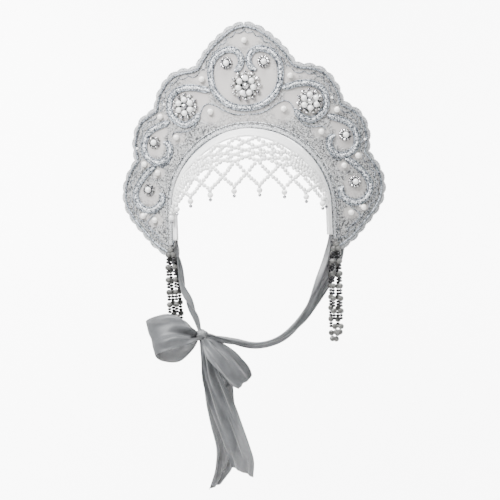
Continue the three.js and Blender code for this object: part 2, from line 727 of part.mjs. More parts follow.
// A ribbon through stations with a place, a direction across and a width, creased by fold
function ribbonThrough(stations, steps, fold) {
  const places = new THREE.CatmullRomCurve3(stations.map((station) => station.place));
  const crossings = new THREE.CatmullRomCurve3(stations.map((station) => station.across));
  const sections = [];
  for (let i = 0; i <= steps; i += 1) {
    const t = i / steps;
    const place = places.getPoint(t);
    const half = crossings.getPoint(t).multiplyScalar(0.5);
    const tangent = places.getTangent(t);
    const normal = tangent.cross(half).normalize();
    const crease = fold * half.length() * Math.sin(Math.PI * t);
    const rows = [[-1, 0], [0, crease], [1, 0]];
    const face = (lift) => rows.map(([share, rise]) => place.clone()
      .addScaledVector(half, share).addScaledVector(normal, rise + lift));
    sections.push([...face(ribbonWall / 2), ...face(-ribbonWall / 2).reverse()]);
  }
  const clear = toSolid(knotGeometry(seatGap));
  const parts = toSolid(skin(sections)).subtract(clear).decompose();
  return toGeometry(parts.sort((a, b) => b.volume() - a.volume())[0]);
}

function degrees(angle) {
  return THREE.MathUtils.degToRad(angle);
}

function strapStations(run, side) {
  const backRadius = bendRadius - crestWall;
  const slope = Math.asin(strapSpread / backRadius);
  const backFace = bendRadius - backRadius * Math.cos(slope);
  const setback = backFace + ribbonWall / 2 + 3 * seatGap;
  return run.map((row) => {
    const turn = slope + degrees(row.turn);
    const across = new THREE.Vector3(side * Math.cos(turn), Math.sin(turn), 0);
    const x = side * row.out * strapSpread;
    const y = row.back * (row.back > 0 ? setback : knotForward / 0.62);
    const place = new THREE.Vector3(x, y, archTop - row.down * knotDrop);
    return { place, across: across.multiplyScalar(row.width * ribbonWidth) };
  });
}

function bowStations() {
  return bowRun.map((row) => {
    const offset = new THREE.Vector3(-row.along, -row.front, row.rise).multiplyScalar(bowLength);
    const across = new THREE.Vector3(0, 0, row.width * ribbonWidth);
    return { place: offset.add(knotCentre), across };
  });
}

function droopStations() {
  const lean = degrees(droopAngle);
  const turn = degrees(droopTurn);
  const along = new THREE.Vector3(Math.cos(lean), 0, Math.sin(lean));
  const up = new THREE.Vector3(-Math.sin(lean), 0, Math.cos(lean));
  const acrossDirection = up.clone().multiplyScalar(Math.cos(turn)).setY(Math.sin(turn));
  return droopRun.map((row) => {
    const place = knotCentre.clone().addScaledVector(along, row.along * droopLength);
    place.addScaledVector(up, row.rise * droopLength);
    place.y -= row.front * droopLength;
    return { place, across: acrossDirection.clone().multiplyScalar(row.width * ribbonWidth) };
  });
}

function tailStations(run) {
  return run.map((row) => {
    const place = new THREE.Vector3(row.out, -row.front, -row.down).multiplyScalar(tailLength);
    const turn = degrees(row.turn);
    const tilt = degrees(row.tilt);
    const flat = Math.cos(tilt);
    const across = new THREE.Vector3(flat * Math.cos(turn), flat * Math.sin(turn), Math.sin(tilt));
    return { place: place.add(knotCentre), across: across.multiplyScalar(row.width * ribbonWidth) };
  });
}

// Crest and its edging
addMesh('crest_panel', toGeometry(buildCrest()), fabricMaterial);
addMesh('lace_edging', toGeometry(buildLace()), laceMaterial);
addMesh('arch_piping', buildPiping(), gimpMaterial);
addMesh('headband', buildHeadband(), satinMaterial);

// Gimp: each run is cut clear of the one that it meets
const heart = rib(heartPoints(), gimpWidth, gimpHeight);
addMesh('heart_braid', heart, gimpMaterial);
for (const [side, word] of [[1, 'right'], [-1, 'left']]) {
  let clear = toSolid(rib(heartPoints(), gimpWidth, gimpHeight, seatGap));
  for (const name of Object.keys(scrollRuns)) {
    const run = scrollRun(name, side);
    const pieces = toSolid(rib(run, gimpWidth, gimpHeight)).subtract(clear).decompose();
    const main = pieces.sort((a, b) => b.volume() - a.volume())[0];
    addMesh(`${name}_${word}`, toGeometry(main), gimpMaterial);
    clear = toSolid(rib(run, gimpWidth, gimpHeight, seatGap));
  }
}

// Pearls, rosettes and flowers
seatOnCrest(addMesh('pearl_top', sewnPearl(), pearlMaterial), crestSpot(topPearl));
for (const [side, word] of [[1, 'right'], [-1, 'left']]) {
  pairedPearls.forEach((row, i) => {
    const pearl = addMesh(`pearl_${word}_${i + 1}`, sewnPearl(), pearlMaterial);
    seatOnCrest(pearl, crestSpot(row, side));
  });
  rosetteSpots.forEach((row, i) => {
    const cluster = stoneCluster(rosetteRadius, pearlRadius, 0, 0);
    seatOnCrest(addMesh(`rosette_${word}_${i + 1}`, cluster, silverMaterial), crestSpot(row, side));
  });
  const flower = stoneCluster(sideFlowerRadius, beadRadius, 6, sideRingShare * sideFlowerRadius);
  seatOnCrest(addMesh(`flower_${word}`, flower, pearlMaterial), crestSpot(sideFlowerSpot, side));
}
const ringRadius = centreRingShare * centreFlowerRadius;
const centreFlower = stoneCluster(centreFlowerRadius, beadRadius, 7, ringRadius);
seatOnCrest(addMesh('flower_centre', centreFlower, pearlMaterial), crestSpot(centreFlowerSpot));

// Net and side strings
addMesh('bead_net', buildNet(), pearlMaterial);
addMesh('pendant_right', buildSideString(1), pearlMaterial);
addMesh('pendant_left', buildSideString(-1), pearlMaterial);

// Ribbon ties and bow
addMesh('strap_right', ribbonThrough(strapStations(strapRightRun, 1), 22, 0.1), ribbonMaterial);
addMesh('strap_left', ribbonThrough(strapStations(strapLeftRun, -1), 12, 0.1), ribbonMaterial);
addMesh('bow_knot', knotGeometry(), ribbonMaterial);
addMesh('bow_loop_left', ribbonThrough(bowStations(), 22, 0), ribbonMaterial);
addMesh('bow_loop_right', ribbonThrough(droopStations(), 20, 0), ribbonMaterial);
addMesh('tail_left', ribbonThrough(tailStations(tailLeftRun), 14, -0.2), ribbonMaterial);
addMesh('tail_right', ribbonThrough(tailStations(tailRightRun), 14, 0.2), ribbonMaterial);

export default headdress;
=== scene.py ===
import bpy
import numpy as np
from mathutils import Matrix


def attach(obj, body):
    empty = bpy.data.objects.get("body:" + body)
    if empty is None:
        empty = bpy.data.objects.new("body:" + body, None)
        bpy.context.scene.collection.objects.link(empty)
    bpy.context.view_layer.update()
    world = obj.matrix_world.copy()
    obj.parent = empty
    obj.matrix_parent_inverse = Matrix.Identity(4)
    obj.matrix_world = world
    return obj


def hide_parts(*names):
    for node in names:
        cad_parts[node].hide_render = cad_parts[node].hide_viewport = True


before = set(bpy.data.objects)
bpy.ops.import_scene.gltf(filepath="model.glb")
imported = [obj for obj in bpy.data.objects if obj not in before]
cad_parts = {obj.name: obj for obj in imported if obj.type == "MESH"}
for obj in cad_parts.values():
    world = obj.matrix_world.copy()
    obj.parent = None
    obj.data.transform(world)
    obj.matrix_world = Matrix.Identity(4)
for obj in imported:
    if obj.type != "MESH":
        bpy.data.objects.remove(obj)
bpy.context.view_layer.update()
print("frame loaded, nodes:", len(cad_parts))

# The crest's own sizes in metres; across and up below are shares of the half width and the rise or drop
crest = {
    "halfWidth": 0.1235,
    "rise": 0.0984,
    "drop": 0.115,
    "wall": 0.003,
    "bend": 0.209,
    "arch": 0.0755,
    "archTop": 0.0028,
}
archCentre = crest["archTop"] - crest["arch"]
bothSides = ((1, "right"), (-1, "left"))

lobes = [
    [(0.0, 1.0), (0.097, 0.961), (0.19, 0.877), (0.271, 0.78), (0.332, 0.677), (0.368, 0.602)],
    [(0.368, 0.602), (0.421, 0.578), (0.518, 0.563), (0.599, 0.514), (0.66, 0.421),
     (0.699, 0.316), (0.713, 0.212)],
    [(0.713, 0.212), (0.777, 0.171), (0.845, 0.108), (0.883, 0.021), (0.901, -0.073),
     (0.898, -0.16), (0.887, -0.225)],
    [(0.887, -0.225), (0.957, -0.33), (0.998, -0.447), (0.996, -0.569), (0.951, -0.682),
     (0.858, -0.808), (0.761, -0.925), (0.668, -0.999)],
]
heartRun = [
    (0.087, 0.565), (0.053, 0.585), (0.031, 0.631), (0.031, 0.692), (0.065, 0.75), (0.127, 0.771),
    (0.198, 0.736), (0.249, 0.667), (0.27, 0.575), (0.267, 0.479), (0.245, 0.382), (0.198, 0.301),
    (0.138, 0.242), (0.069, 0.209), (0.0, 0.199),
]
scrollRuns = {
    "upper_scroll": [
        (0.279, 0.38), (0.34, 0.4), (0.413, 0.421), (0.487, 0.419), (0.549, 0.39), (0.591, 0.334),
        (0.607, 0.247), (0.593, 0.166), (0.545, 0.098), (0.49, 0.065), (0.437, 0.083),
        (0.393, 0.124), (0.368, 0.174),
    ],
    "middle_scroll": [
        (0.611, 0.098), (0.683, 0.071), (0.76, 0.027), (0.805, -0.032), (0.824, -0.103),
        (0.815, -0.173), (0.773, -0.225), (0.7, -0.247), (0.636, -0.208), (0.614, -0.151),
        (0.628, -0.099), (0.664, -0.082),
    ],
    "lower_scroll": [
        (0.733, -0.277), (0.785, -0.308), (0.838, -0.36), (0.883, -0.425), (0.911, -0.495),
        (0.899, -0.569), (0.854, -0.621), (0.798, -0.641), (0.741, -0.621), (0.699, -0.577),
        (0.691, -0.53), (0.711, -0.506),
    ],
}


def crestSpot(rows, side=1):
    # x is the share of the half width, z the share of the rise above or of the drop below
    across, up = np.atleast_2d(np.asarray(rows, dtype=float)).T
    reach = np.where(up >= 0, crest["rise"], crest["drop"])
    return np.column_stack((side * across * crest["halfWidth"], crest["archTop"] + up * reach))


def heightAt(up):
    return crestSpot((0.0, up))[0, 1]


def onCrest(x, z, lift):
    # The point turns about the upright axis at y = bend, by the angle whose sine is x over the bend
    x, z, lift = np.broadcast_arrays(x, z, lift)
    angle = np.arcsin(np.clip(x / crest["bend"], -1, 1))
    radius = crest["bend"] + lift
    return np.stack((radius * np.sin(angle), crest["bend"] - radius * np.cos(angle), z), axis=-1)


def layOn(spots, lift):
    # Spots of the front view, put on the bent crest
    return onCrest(spots[..., 0], spots[..., 1], lift)


def crestNormal(x):
    # Straight out from the axis that the crest is bent about
    angle = np.arcsin(np.clip(x / crest["bend"], -1, 1))
    return np.stack((np.sin(angle), -np.cos(angle), np.zeros_like(angle)), axis=-1)


def unit(vectors):
    return vectors / np.maximum(np.linalg.norm(vectors, axis=-1, keepdims=True), 1e-12)


def curveThrough(padded, count):
    # Catmull-Rom: each span is the cubic that its two ends and their two neighbours set
    t = np.linspace(0, len(padded) - 3 - 1e-9, count)
    i = np.floor(t).astype(int)
    f = (t - i)[:, None]
    a, b, c, d = (padded[i + k] for k in range(4))
    square, cube = 2 * a - 5 * b + 4 * c - d, 3 * b - a - 3 * c + d
    return 0.5 * (2 * b + (c - a) * f + square * f**2 + cube * f**3)


def spline(points, count):
    # A smooth curve through the points, then evenly spaced by arc length
    points = np.asarray(points, dtype=float)
    padded = np.vstack((points[:1], points, points[-1:]))
    return evenly(curveThrough(padded, 40 * len(points)), count)


def distances(path):
    # How far along the path each of its points is
    return np.concatenate(([0], np.cumsum(np.linalg.norm(np.diff(path, axis=0), axis=1))))


def pointsAt(curve, along, wanted):
    return np.column_stack([np.interp(wanted, along, column) for column in curve.T])


def evenly(curve, count):
    along = distances(curve)
    return pointsAt(curve, along, np.linspace(0, along[-1], count))


def runLength(path):
    return float(np.linalg.norm(np.diff(path, axis=0), axis=1).sum())


def sideways(run):
    # Unit vectors square to a front-view run, to its right
    along = unit(np.gradient(run, axis=0))
    return np.column_stack((along[:, 1], -along[:, 0]))


def gridFaces(rows, columns, closeRows=False, closeColumns=False):
    r = np.arange(rows if closeRows else rows - 1)
    c = np.arange(columns if closeColumns else columns - 1)
    r, c = np.meshgrid(r, c, indexing="ij")
    r2, c2 = (r + 1) % rows, (c + 1) % columns
    corners = (r * columns + c, r * columns + c2, r2 * columns + c2, r2 * columns + c)
    return np.stack(corners, axis=-1).reshape(-1, 4)


def gridShape(points, closed=False):
    # A closed grid joins its last column to its first, and has a cap on its first and last row
    rows, columns = points.shape[:2]
    faces = [gridFaces(rows, columns, closeColumns=closed)]
    if closed:
        ring = np.arange(columns)[None, :]
        faces += [ring[:, ::-1], (rows - 1) * columns + ring]
    return points.reshape(-1, 3), faces


def turnedOver(shape):
    # The same faces, seen from their other side
    points, faceSets = shape
    return points, [faces[:, ::-1] for faces in faceSets]


def tubeShape(path, radius, normals, sides=8):
    # A ring of points at each place of the path, in the plane of its side and its normal
    along = unit(np.gradient(path, axis=0))
    side = unit(np.cross(along, normals))
    up = np.cross(side, along)
    angle = np.linspace(0, 2 * np.pi, sides, endpoint=False)[None, :, None]
    ring = np.cos(angle) * side[:, None] + np.sin(angle) * up[:, None]
    radius = np.broadcast_to(radius, (len(path), sides))
    return turnedOver(gridShape(path[:, None] + radius[..., None] * ring, closed=True))


def twistedRadius(path, radius, pitch, sides, depth, plies=2):
    # The section of a twisted cord: its radius swells once for each ply, and turns along the run
    angle = np.linspace(0, 2 * np.pi, sides, endpoint=False)
    phase = plies * (angle[None, :] - 2 * np.pi * distances(path)[:, None] / pitch / plies)
    return radius * (1 - depth + depth * np.abs(np.cos(phase / 2)) * 2 - depth * 0.5)


def ballShape(centres, radii, cuts=3, squash=None):
    # A cube's faces blown out to a ball, one copy at each centre
    t = np.tan(np.linspace(-np.pi / 4, np.pi / 4, cuts + 1))
    a, b = np.meshgrid(t, t)
    one = np.ones_like(a)
    sheets = [(a, b, one), (b, a, -one), (one, a, b), (-one, b, a), (b, one, a), (a, -one, b)]
    points = np.concatenate([np.stack(s, axis=-1).reshape(-1, 3) for s in sheets])
    faces = np.concatenate([gridFaces(cuts + 1, cuts + 1) + k * (cuts + 1) ** 2 for k in range(6)])
    points, index = np.unique(np.round(unit(points), 6), axis=0, return_inverse=True)
    faces = index.reshape(-1)[faces]
    centres = np.atleast_2d(centres)
    radii = np.broadcast_to(np.asarray(radii, dtype=float), (len(centres),))
    local = np.broadcast_to(points, (len(centres),) + points.shape)
    if squash is not None:
        axes, keep = squash
        drop = np.einsum("npk,nk->np", local, axes)
        local = local - (1 - keep) * drop[..., None] * axes[:, None, :]
    world = centres[:, None] + radii[:, None, None] * local
    shift = np.arange(len(centres))[:, None, None] * len(points)
    return world.reshape(-1, 3), [(faces[None] + shift).reshape(-1, 4)]


def makePiece(name, shapes, finish, node=None, smooth=True, uv=None, laced=None):
    # One mesh of all the shapes, which takes the place of the node where one is named
    vertices, totals, loops, base = [], [], [], 0
    for points, faceSets in shapes:
        for faces in faceSets:
            totals.append(np.full(len(faces), faces.shape[1]))
            loops.append((faces + base).reshape(-1))
        vertices.append(points)
        base += len(points)
    vertices, totals, loops = np.concatenate(vertices), np.concatenate(totals), np.concatenate(loops)
    mesh = bpy.data.meshes.new(name)
    mesh.vertices.add(len(vertices))
    mesh.vertices.foreach_set("co", vertices.reshape(-1))
    mesh.loops.add(len(loops))
    mesh.loops.foreach_set("vertex_index", loops.astype(np.int32))
    mesh.polygons.add(len(totals))
    mesh.polygons.foreach_set("loop_start", (np.cumsum(totals) - totals).astype(np.int32))
    mesh.polygons.foreach_set("loop_total", totals.astype(np.int32))
    mesh.update(calc_edges=True)
    mesh.polygons.foreach_set("use_smooth", np.full(len(totals), smooth))
    if uv is not None:
        layer = mesh.uv_layers.new(name="cloth")
        layer.data.foreach_set("uv", uv[loops].reshape(-1))
    if laced is not None:
        layer = mesh.attributes.new("laced", "FLOAT", "POINT")
        layer.data.foreach_set("value", laced)
    mesh.materials.append(finishes[finish])
    piece = bpy.data.objects.new(name, mesh)
    bpy.context.scene.collection.objects.link(piece)
    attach(piece, "root")
    if node:
        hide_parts(node)
    return piece


def outwards(shape):
    # Turns a closed shape's faces round if its signed volume is negative
    points, faceSets = shape
    volume = 0.0
    for faces in faceSets:
        corner = points[faces]
        for k in range(1, faces.shape[1] - 1):
            volume += np.einsum("ij,ij->", corner[:, 0], np.cross(corner[:, k], corner[:, k + 1]))
    return shape if volume > 0 else turnedOver(shape)


def walled(front, back):
    # A front and a back sheet joined into one closed shape
    return outwards(gridShape(np.concatenate((front, back[:, ::-1]), axis=1), closed=True))


# Materials
def newMaterial(name, colour, roughness, metallic=0.0):
    material = bpy.data.materials.new(name)
    material.use_nodes = True
    tree = material.node_tree
    shader = tree.nodes["Principled BSDF"]
    shader.inputs["Base Color"].default_value = (*colour, 1)
    shader.inputs["Roughness"].default_value = roughness
    shader.inputs["Metallic"].default_value = metallic
    return material, tree, shader


def addNoise(tree, coords, scale, detail=2.0):
    noise = tree.nodes.new("ShaderNodeTexNoise")
    noise.inputs["Scale"].default_value = scale
    noise.inputs["Detail"].default_value = detail
    tree.links.new(coords, noise.inputs["Vector"])
    return noise.outputs["Fac"]


def rampOf(tree, factor, low, high, start=0.3, end=0.7):
    ramp = tree.nodes.new("ShaderNodeValToRGB")
    for element, place, colour in zip(ramp.color_ramp.elements, (start, end), (low, high)):
        element.position = place
        element.color = (*colour, 1)
    tree.links.new(factor, ramp.inputs["Fac"])
    return ramp.outputs["Color"]


def colourBetween(tree, factor, low, high, shader, start=0.3, end=0.7):
    tree.links.new(rampOf(tree, factor, low, high, start, end), shader.inputs["Base Color"])


def addBump(tree, height, shader, strength, distance):
    bump = tree.nodes.new("ShaderNodeBump")
    bump.inputs["Strength"].default_value = strength
    bump.inputs["Distance"].default_value = distance
    tree.links.new(height, bump.inputs["Height"])
    tree.links.new(bump.outputs["Normal"], shader.inputs["Normal"])


def objectCoords(tree):
    return tree.nodes.new("ShaderNodeTexCoord").outputs["Object"]


def mottle(tree, shader, low, high, look):
    # Patches between two shades, and a finer grain raised on them
    coords = objectCoords(tree)
    patches = addNoise(tree, coords, look["patches"], look["detail"])
    colourBetween(tree, patches, low, high, shader, look["dark"], look["light"])
    addBump(tree, addNoise(tree, coords, look["grain"]), shader, look["bump"], look["depth"])


def pearlFinish(name, low, high, coat=0.6, gloss=0.5):
    look = {"roughness": 0.2, "coatRoughness": 0.1, "patches": 260, "detail": 2, "dark": 0.3,
            "light": 0.7, "grain": 1600, "bump": 0.08, "depth": 0.0002}
    material, tree, shader = newMaterial(name, high, look["roughness"])
    shader.inputs["Specular IOR Level"].default_value = gloss
    shader.inputs["Coat Weight"].default_value = coat
    shader.inputs["Coat Roughness"].default_value = look["coatRoughness"]
    mottle(tree, shader, low, high, look)
    return material


def metalFinish(name, low, high, roughness, patches):
    # Light and dark patches stand for the reflections that small polished beads break up
    look = {"metallic": 0.9, "patches": patches, "detail": 1, "dark": 0.42, "light": 0.6, "grain": 1500,
            "bump": 0.25, "depth": 0.0003}
    material, tree, shader = newMaterial(name, high, roughness, look["metallic"])
    mottle(tree, shader, low, high, look)
    return material


def threadFinish(name, low, high, metallic):
    # The dark and bright patches on the metal thread are painted glints and painted dark reflections,
    # over its own uneven tone
    look = {"roughness": 0.42, "patches": 700, "detail": 3, "dark": 0.43, "light": 0.57, "grain": 2600,
            "bump": 0.4, "depth": 0.0003}
    material, tree, shader = newMaterial(name, high, look["roughness"], metallic)
    mottle(tree, shader, low, high, look)
    return material


def brocadeFinish():
    # Plain ivory cloth, and speckled lace where the laced attribute says
    look = {"base": (0.45, 0.435, 0.42), "roughness": 0.8, "clouds": 45, "specks": 620, "bump": 0.6,
            "depth": 0.0012}
    material, tree, shader = newMaterial("brocade", look["base"], look["roughness"])
    coords = objectCoords(tree)
    laced = tree.nodes.new("ShaderNodeAttribute")
    laced.attribute_name = "laced"
    clouds = addNoise(tree, coords, look["clouds"], 3)
    plain = rampOf(tree, clouds, (0.42, 0.4, 0.39), (0.49, 0.47, 0.455))
    specks = addNoise(tree, coords, look["specks"], 3)
    lace = rampOf(tree, specks, (0.048, 0.05, 0.054), (0.47, 0.47, 0.465), 0.4, 0.61)
    mix = tree.nodes.new("ShaderNodeMix")
    mix.data_type = "RGBA"
    for source, socket in ((laced.outputs["Fac"], 0), (plain, 6), (lace, 7)):
        tree.links.new(source, mix.inputs[socket])
    tree.links.new(mix.outputs[2], shader.inputs["Base Color"])
    relief = tree.nodes.new("ShaderNodeMath")
    relief.operation = "MULTIPLY"
    tree.links.new(specks, relief.inputs[0])
    tree.links.new(laced.outputs["Fac"], relief.inputs[1])
    addBump(tree, relief.outputs[0], shader, look["bump"], look["depth"])
    return material


def satinFinish():
    look = {"base": (0.97, 0.97, 0.96), "roughness": 0.35, "sheen": 0.3, "clouds": 40, "creases": 130,
            "bump": 0.35, "depth": 0.0022}
    material, tree, shader = newMaterial("satin", look["base"], look["roughness"])
    shader.inputs["Sheen Weight"].default_value = look["sheen"]
    coords = objectCoords(tree)
    clouds = addNoise(tree, coords, look["clouds"], 3)
    colourBetween(tree, clouds, (0.94, 0.94, 0.94), (0.99, 0.99, 0.98), shader)
    addBump(tree, addNoise(tree, coords, look["creases"], 3), shader, look["bump"], look["depth"])
    return material


def laceFinish():
    # The edges of small cells are the threads, and their middles the openings, painted dark as shade in
    # the holes
    look = {"thread": (0.55, 0.56, 0.57), "gap": (0.16, 0.165, 0.175), "roughness": 0.7, "cells": 520,
            "bump": -0.6, "depth": 0.0006}
    material, tree, shader = newMaterial("lace", look["thread"], look["roughness"])
    cells = tree.nodes.new("ShaderNodeTexVoronoi")
    cells.feature = "DISTANCE_TO_EDGE"
    cells.inputs["Scale"].default_value = look["cells"]
    tree.links.new(objectCoords(tree), cells.inputs["Vector"])
    away = cells.outputs["Distance"]
    colourBetween(tree, away, look["thread"], look["gap"], shader, 0.05, 0.35)
    addBump(tree, away, shader, look["bump"], look["depth"])
    return material


def ribbonFinish():
    # Fine threads run along the ribbon's own map, under slow shades
    # The white ribbon's base colour is a dark grey: partly the grey the sheer cloth shows, partly
    # painted shade
    look = {"base": (0.095, 0.099, 0.104), "roughness": 0.42, "sheen": 0.2, "alpha": 0.88,
            "threads": 700, "unevenness": 0.6, "clouds": 60, "bump": 0.15, "depth": 0.0002}
    material, tree, shader = newMaterial("ribbon", look["base"], look["roughness"])
    shader.inputs["Sheen Weight"].default_value = look["sheen"]
    shader.inputs["Alpha"].default_value = look["alpha"]
    cloth = tree.nodes.new("ShaderNodeUVMap")
    cloth.uv_map = "cloth"
    threads = tree.nodes.new("ShaderNodeTexWave")
    threads.inputs["Scale"].default_value = look["threads"]
    threads.inputs["Distortion"].default_value = look["unevenness"]
    tree.links.new(cloth.outputs["UV"], threads.inputs["Vector"])
    clouds = addNoise(tree, cloth.outputs["UV"], look["clouds"], 3)
    colourBetween(tree, clouds, (0.068, 0.071, 0.075), (0.115, 0.12, 0.126), shader)
    addBump(tree, threads.outputs["Fac"], shader, look["bump"], look["depth"])
    return material


finishes = {
    "pearl": pearlFinish("pearl", (0.78, 0.765, 0.73), (0.95, 0.935, 0.9)),
    "netPearl": pearlFinish("white_pearl", (0.8, 0.8, 0.79), (0.94, 0.94, 0.93)),
    # The string pearls are grey pearls, darkened further with painted shade for the shadow they hang in
    "greyPearlPaintedShade": pearlFinish("grey_pearl_painted_shade", (0.05, 0.05, 0.048), (0.145, 0.145, 0.139), 0.1, 0.3),
    "silver": metalFinish("silver", (0.05, 0.05, 0.055), (0.62, 0.63, 0.65), 0.22, 520),
    "darkSilver": metalFinish("dark_silver", (0.02, 0.02, 0.024), (0.36, 0.36, 0.37), 0.26, 900),
    # The side strings' silver beads are painted near black: a painted dark reflection
    "beadPaintedReflection": pearlFinish("bead_painted_reflection", (0.006, 0.006, 0.007), (0.04, 0.04, 0.042), 0.0, 0.2),
    "dropSilver": metalFinish("drop_silver", (0.12, 0.12, 0.13), (0.75, 0.75, 0.77), 0.2, 1300),
    "domeSilver": metalFinish("dome_silver", (0.22, 0.22, 0.23), (0.95, 0.95, 0.95), 0.16, 330),
    "crystal": metalFinish("crystal", (0.08, 0.08, 0.09), (0.95, 0.95, 0.95), 0.1, 460),
    "gimp": threadFinish("silver_thread", (0.07, 0.08, 0.095), (0.86, 0.885, 0.915), 0.4),
    "gimpShade": threadFinish("dark_thread", (0.038, 0.044, 0.053), (0.4, 0.435, 0.48), 0.35),
    "fabric": brocadeFinish(),
    "satin": satinFinish(),
    "lace": laceFinish(),
    "ribbon": ribbonFinish(),
}
print("finishes made")


# Crest
def halfOutline(side, steps=(60, 62, 56, 76)):
    # The lobes' curves one after another, each from where the last one ends
    runs = [spline(crestSpot(lobe, side), count) for lobe, count in zip(lobes, steps)]
    return np.vstack([run if k == 0 else run[1:] for k, run in enumerate(runs)])


outline = np.vstack((halfOutline(1)[::-1], halfOutline(-1)[1:]))
archFoot = heightAt(-0.952)


def archRun(radius, foot, count):
    # Up one straight leg, over the half circle and down the other leg, evenly spaced
    angle = np.linspace(0, np.pi, 181)
    circle = np.column_stack((radius * np.cos(angle), archCentre + radius * np.sin(angle)))
    return evenly(np.vstack(([[radius, foot]], circle, [[-radius, foot]])), count)

# Where the gimp lies, in the front view
heartHalf = crestSpot(heartRun)
heartCurve = spline(np.vstack((heartHalf, (heartHalf * [-1, 1])[-2::-1])), 600)
scrollCurves = {(word, name): spline(crestSpot(rows, side), 400)
                for side, word in bothSides for name, rows in scrollRuns.items()}

# Places left plain between the sewn-on lace: across and up as shares, half width and half height in
# metres, and how plain they are
plainSpots = [
    (0.0, 0.47, 0.031, 0.028, 1.0), (0.0, 0.87, 0.015, 0.008, 0.9), (0.479, 0.25, 0.015, 0.015, 1.0),
    (0.36, 0.3, 0.009, 0.008, 1.0), (0.281, 0.17, 0.011, 0.009, 0.9), (0.339, 0.5, 0.008, 0.007, 0.9),
    (0.44, 0.5, 0.009, 0.005, 0.7), (0.737, -0.09, 0.010, 0.012, 1.0), (0.68, 0.02, 0.006, 0.006, 1.0),
    (0.797, -0.5, 0.010, 0.011, 0.8), (0.717, -0.332, 0.006, 0.005, 0.8),
    (0.756, -0.725, 0.007, 0.006, 0.8),
    (0.557, -0.046, 0.008, 0.006, 0.7), (0.85, -0.684, 0.005, 0.004, 0.7),
    (0.824, -0.254, 0.006, 0.004, 0.8), (0.0, 0.1, 0.04, 0.009, 0.55), (0.68, 0.155, 0.006, 0.004, 0.7),
]


def lacedShare(x, z):
    # Thickest low down; each plain place is an ellipse with a soft rim
    share = np.clip(1.0 - 0.4 * z / crest["rise"], 0.55, 1)
    for across, up, halfWidth, halfHeight, plain in plainSpots:
        centre = crestSpot((across, up))[0]
        away = np.hypot((np.abs(x) - centre[0]) / halfWidth, (z - centre[1]) / halfHeight)
        share = share * (1 - plain * np.clip((1.2 - away) / 0.35, 0, 1))
    return share


def crestBody():
    # Straight lines from the arch to the outline make the face, padded between its two edges;
    # the back is the same sheet one wall behind
    edge = {"padding": 0.0009, "rounding": 0.1, "lift": 0.0002, "rows": 56, "archPoints": 2000}
    along = distances(outline)
    inner = archRun(crest["arch"], archFoot, edge["archPoints"])
    inner = pointsAt(inner, np.linspace(0, 1, len(inner)), along / along[-1])
    t = np.linspace(0, 1, edge["rows"])[None, :, None]
    flat = inner[:, None] * (1 - t) + outline[:, None] * t
    swell = np.clip(np.sin(np.pi * t[..., 0]) / np.sin(np.pi * edge["rounding"]), 0, 1) ** 0.5
    front = layOn(flat, edge["lift"] + edge["padding"] * (swell - 1))
    laced = lacedShare(flat[..., 0], flat[..., 1])
    laced = np.concatenate((laced, np.zeros_like(laced)), axis=1).reshape(-1)
    return walled(front, layOn(flat, -crest["wall"])), laced


crestSurface, crestLaced = crestBody()
makePiece("crest_cloth", [crestSurface], "fabric", "crest_panel", laced=crestLaced)


def crestTube(run, radius, lift, sides=8, pitch=None, depth=0.22):
    # A cord laid on the crest: a round section carried along the run, twisted where it has a pitch
    path = layOn(run, lift)
    section = radius if pitch is None else twistedRadius(path, radius, pitch, sides, depth)
    return tubeShape(path, section, crestNormal(run[:, 0]), sides)


def edgeCord():
    # A dark twisted cord just inside the outline
    cord = {"radius": 0.0010, "pitch": 0.0030, "inset": 0.0007, "lift": 0.0006, "points": 2600}
    run = evenly(outline - cord["inset"] * sideways(outline), cord["points"])
    return crestTube(run, cord["radius"], cord["lift"], 8, cord["pitch"])


makePiece("edge_cord", [edgeCord()], "gimpShade")


def liningSeams():
    # On the back, a fine cord follows the outline and the arch, where the lining is sewn down
    seam = {"radius": 0.0005, "inset": 0.0042, "arch": 0.0045, "foot": -0.93, "pitch": 0.0021}
    outer = evenly(outline - seam["inset"] * sideways(outline), 1700)
    inner = archRun(crest["arch"] + seam["arch"], heightAt(seam["foot"]), 1200)
    return [crestTube(run, seam["radius"], -crest["wall"], 6, seam["pitch"]) for run in (outer, inner)]


makePiece("lining_seams", liningSeams(), "gimpShade")


def lobeRun(lobe, side, count, pitch):
    # A lobe's outline, its outward directions, and a phase that grows by half a turn a scallop
    run = spline(crestSpot(lobe, side), count)
    scallops = max(round(runLength(run) / pitch), 1)
    return run, sideways(run) * -side, np.pi * scallops * np.linspace(0, 1, count)


def scallopCord(lobe, side):
    # A thin cord that hangs in small scallops inside the outline, each one hump of a sine
    wave = {"radius": 0.0005, "inset": 0.0034, "swing": 0.0026, "pitch": 0.0112, "lift": 0.0004,
            "twist": 0.002}
    run, out, phase = lobeRun(lobe, side, 400, wave["pitch"])
    run = run - (wave["inset"] + wave["swing"] * np.abs(np.sin(phase)))[:, None] * out
    return crestTube(run, wave["radius"], wave["lift"], 6, wave["twist"])


for side, word in bothSides:
    makePiece(f"scallop_cord_{word}", [scallopCord(lobe, side) for lobe in lobes], "gimpShade")


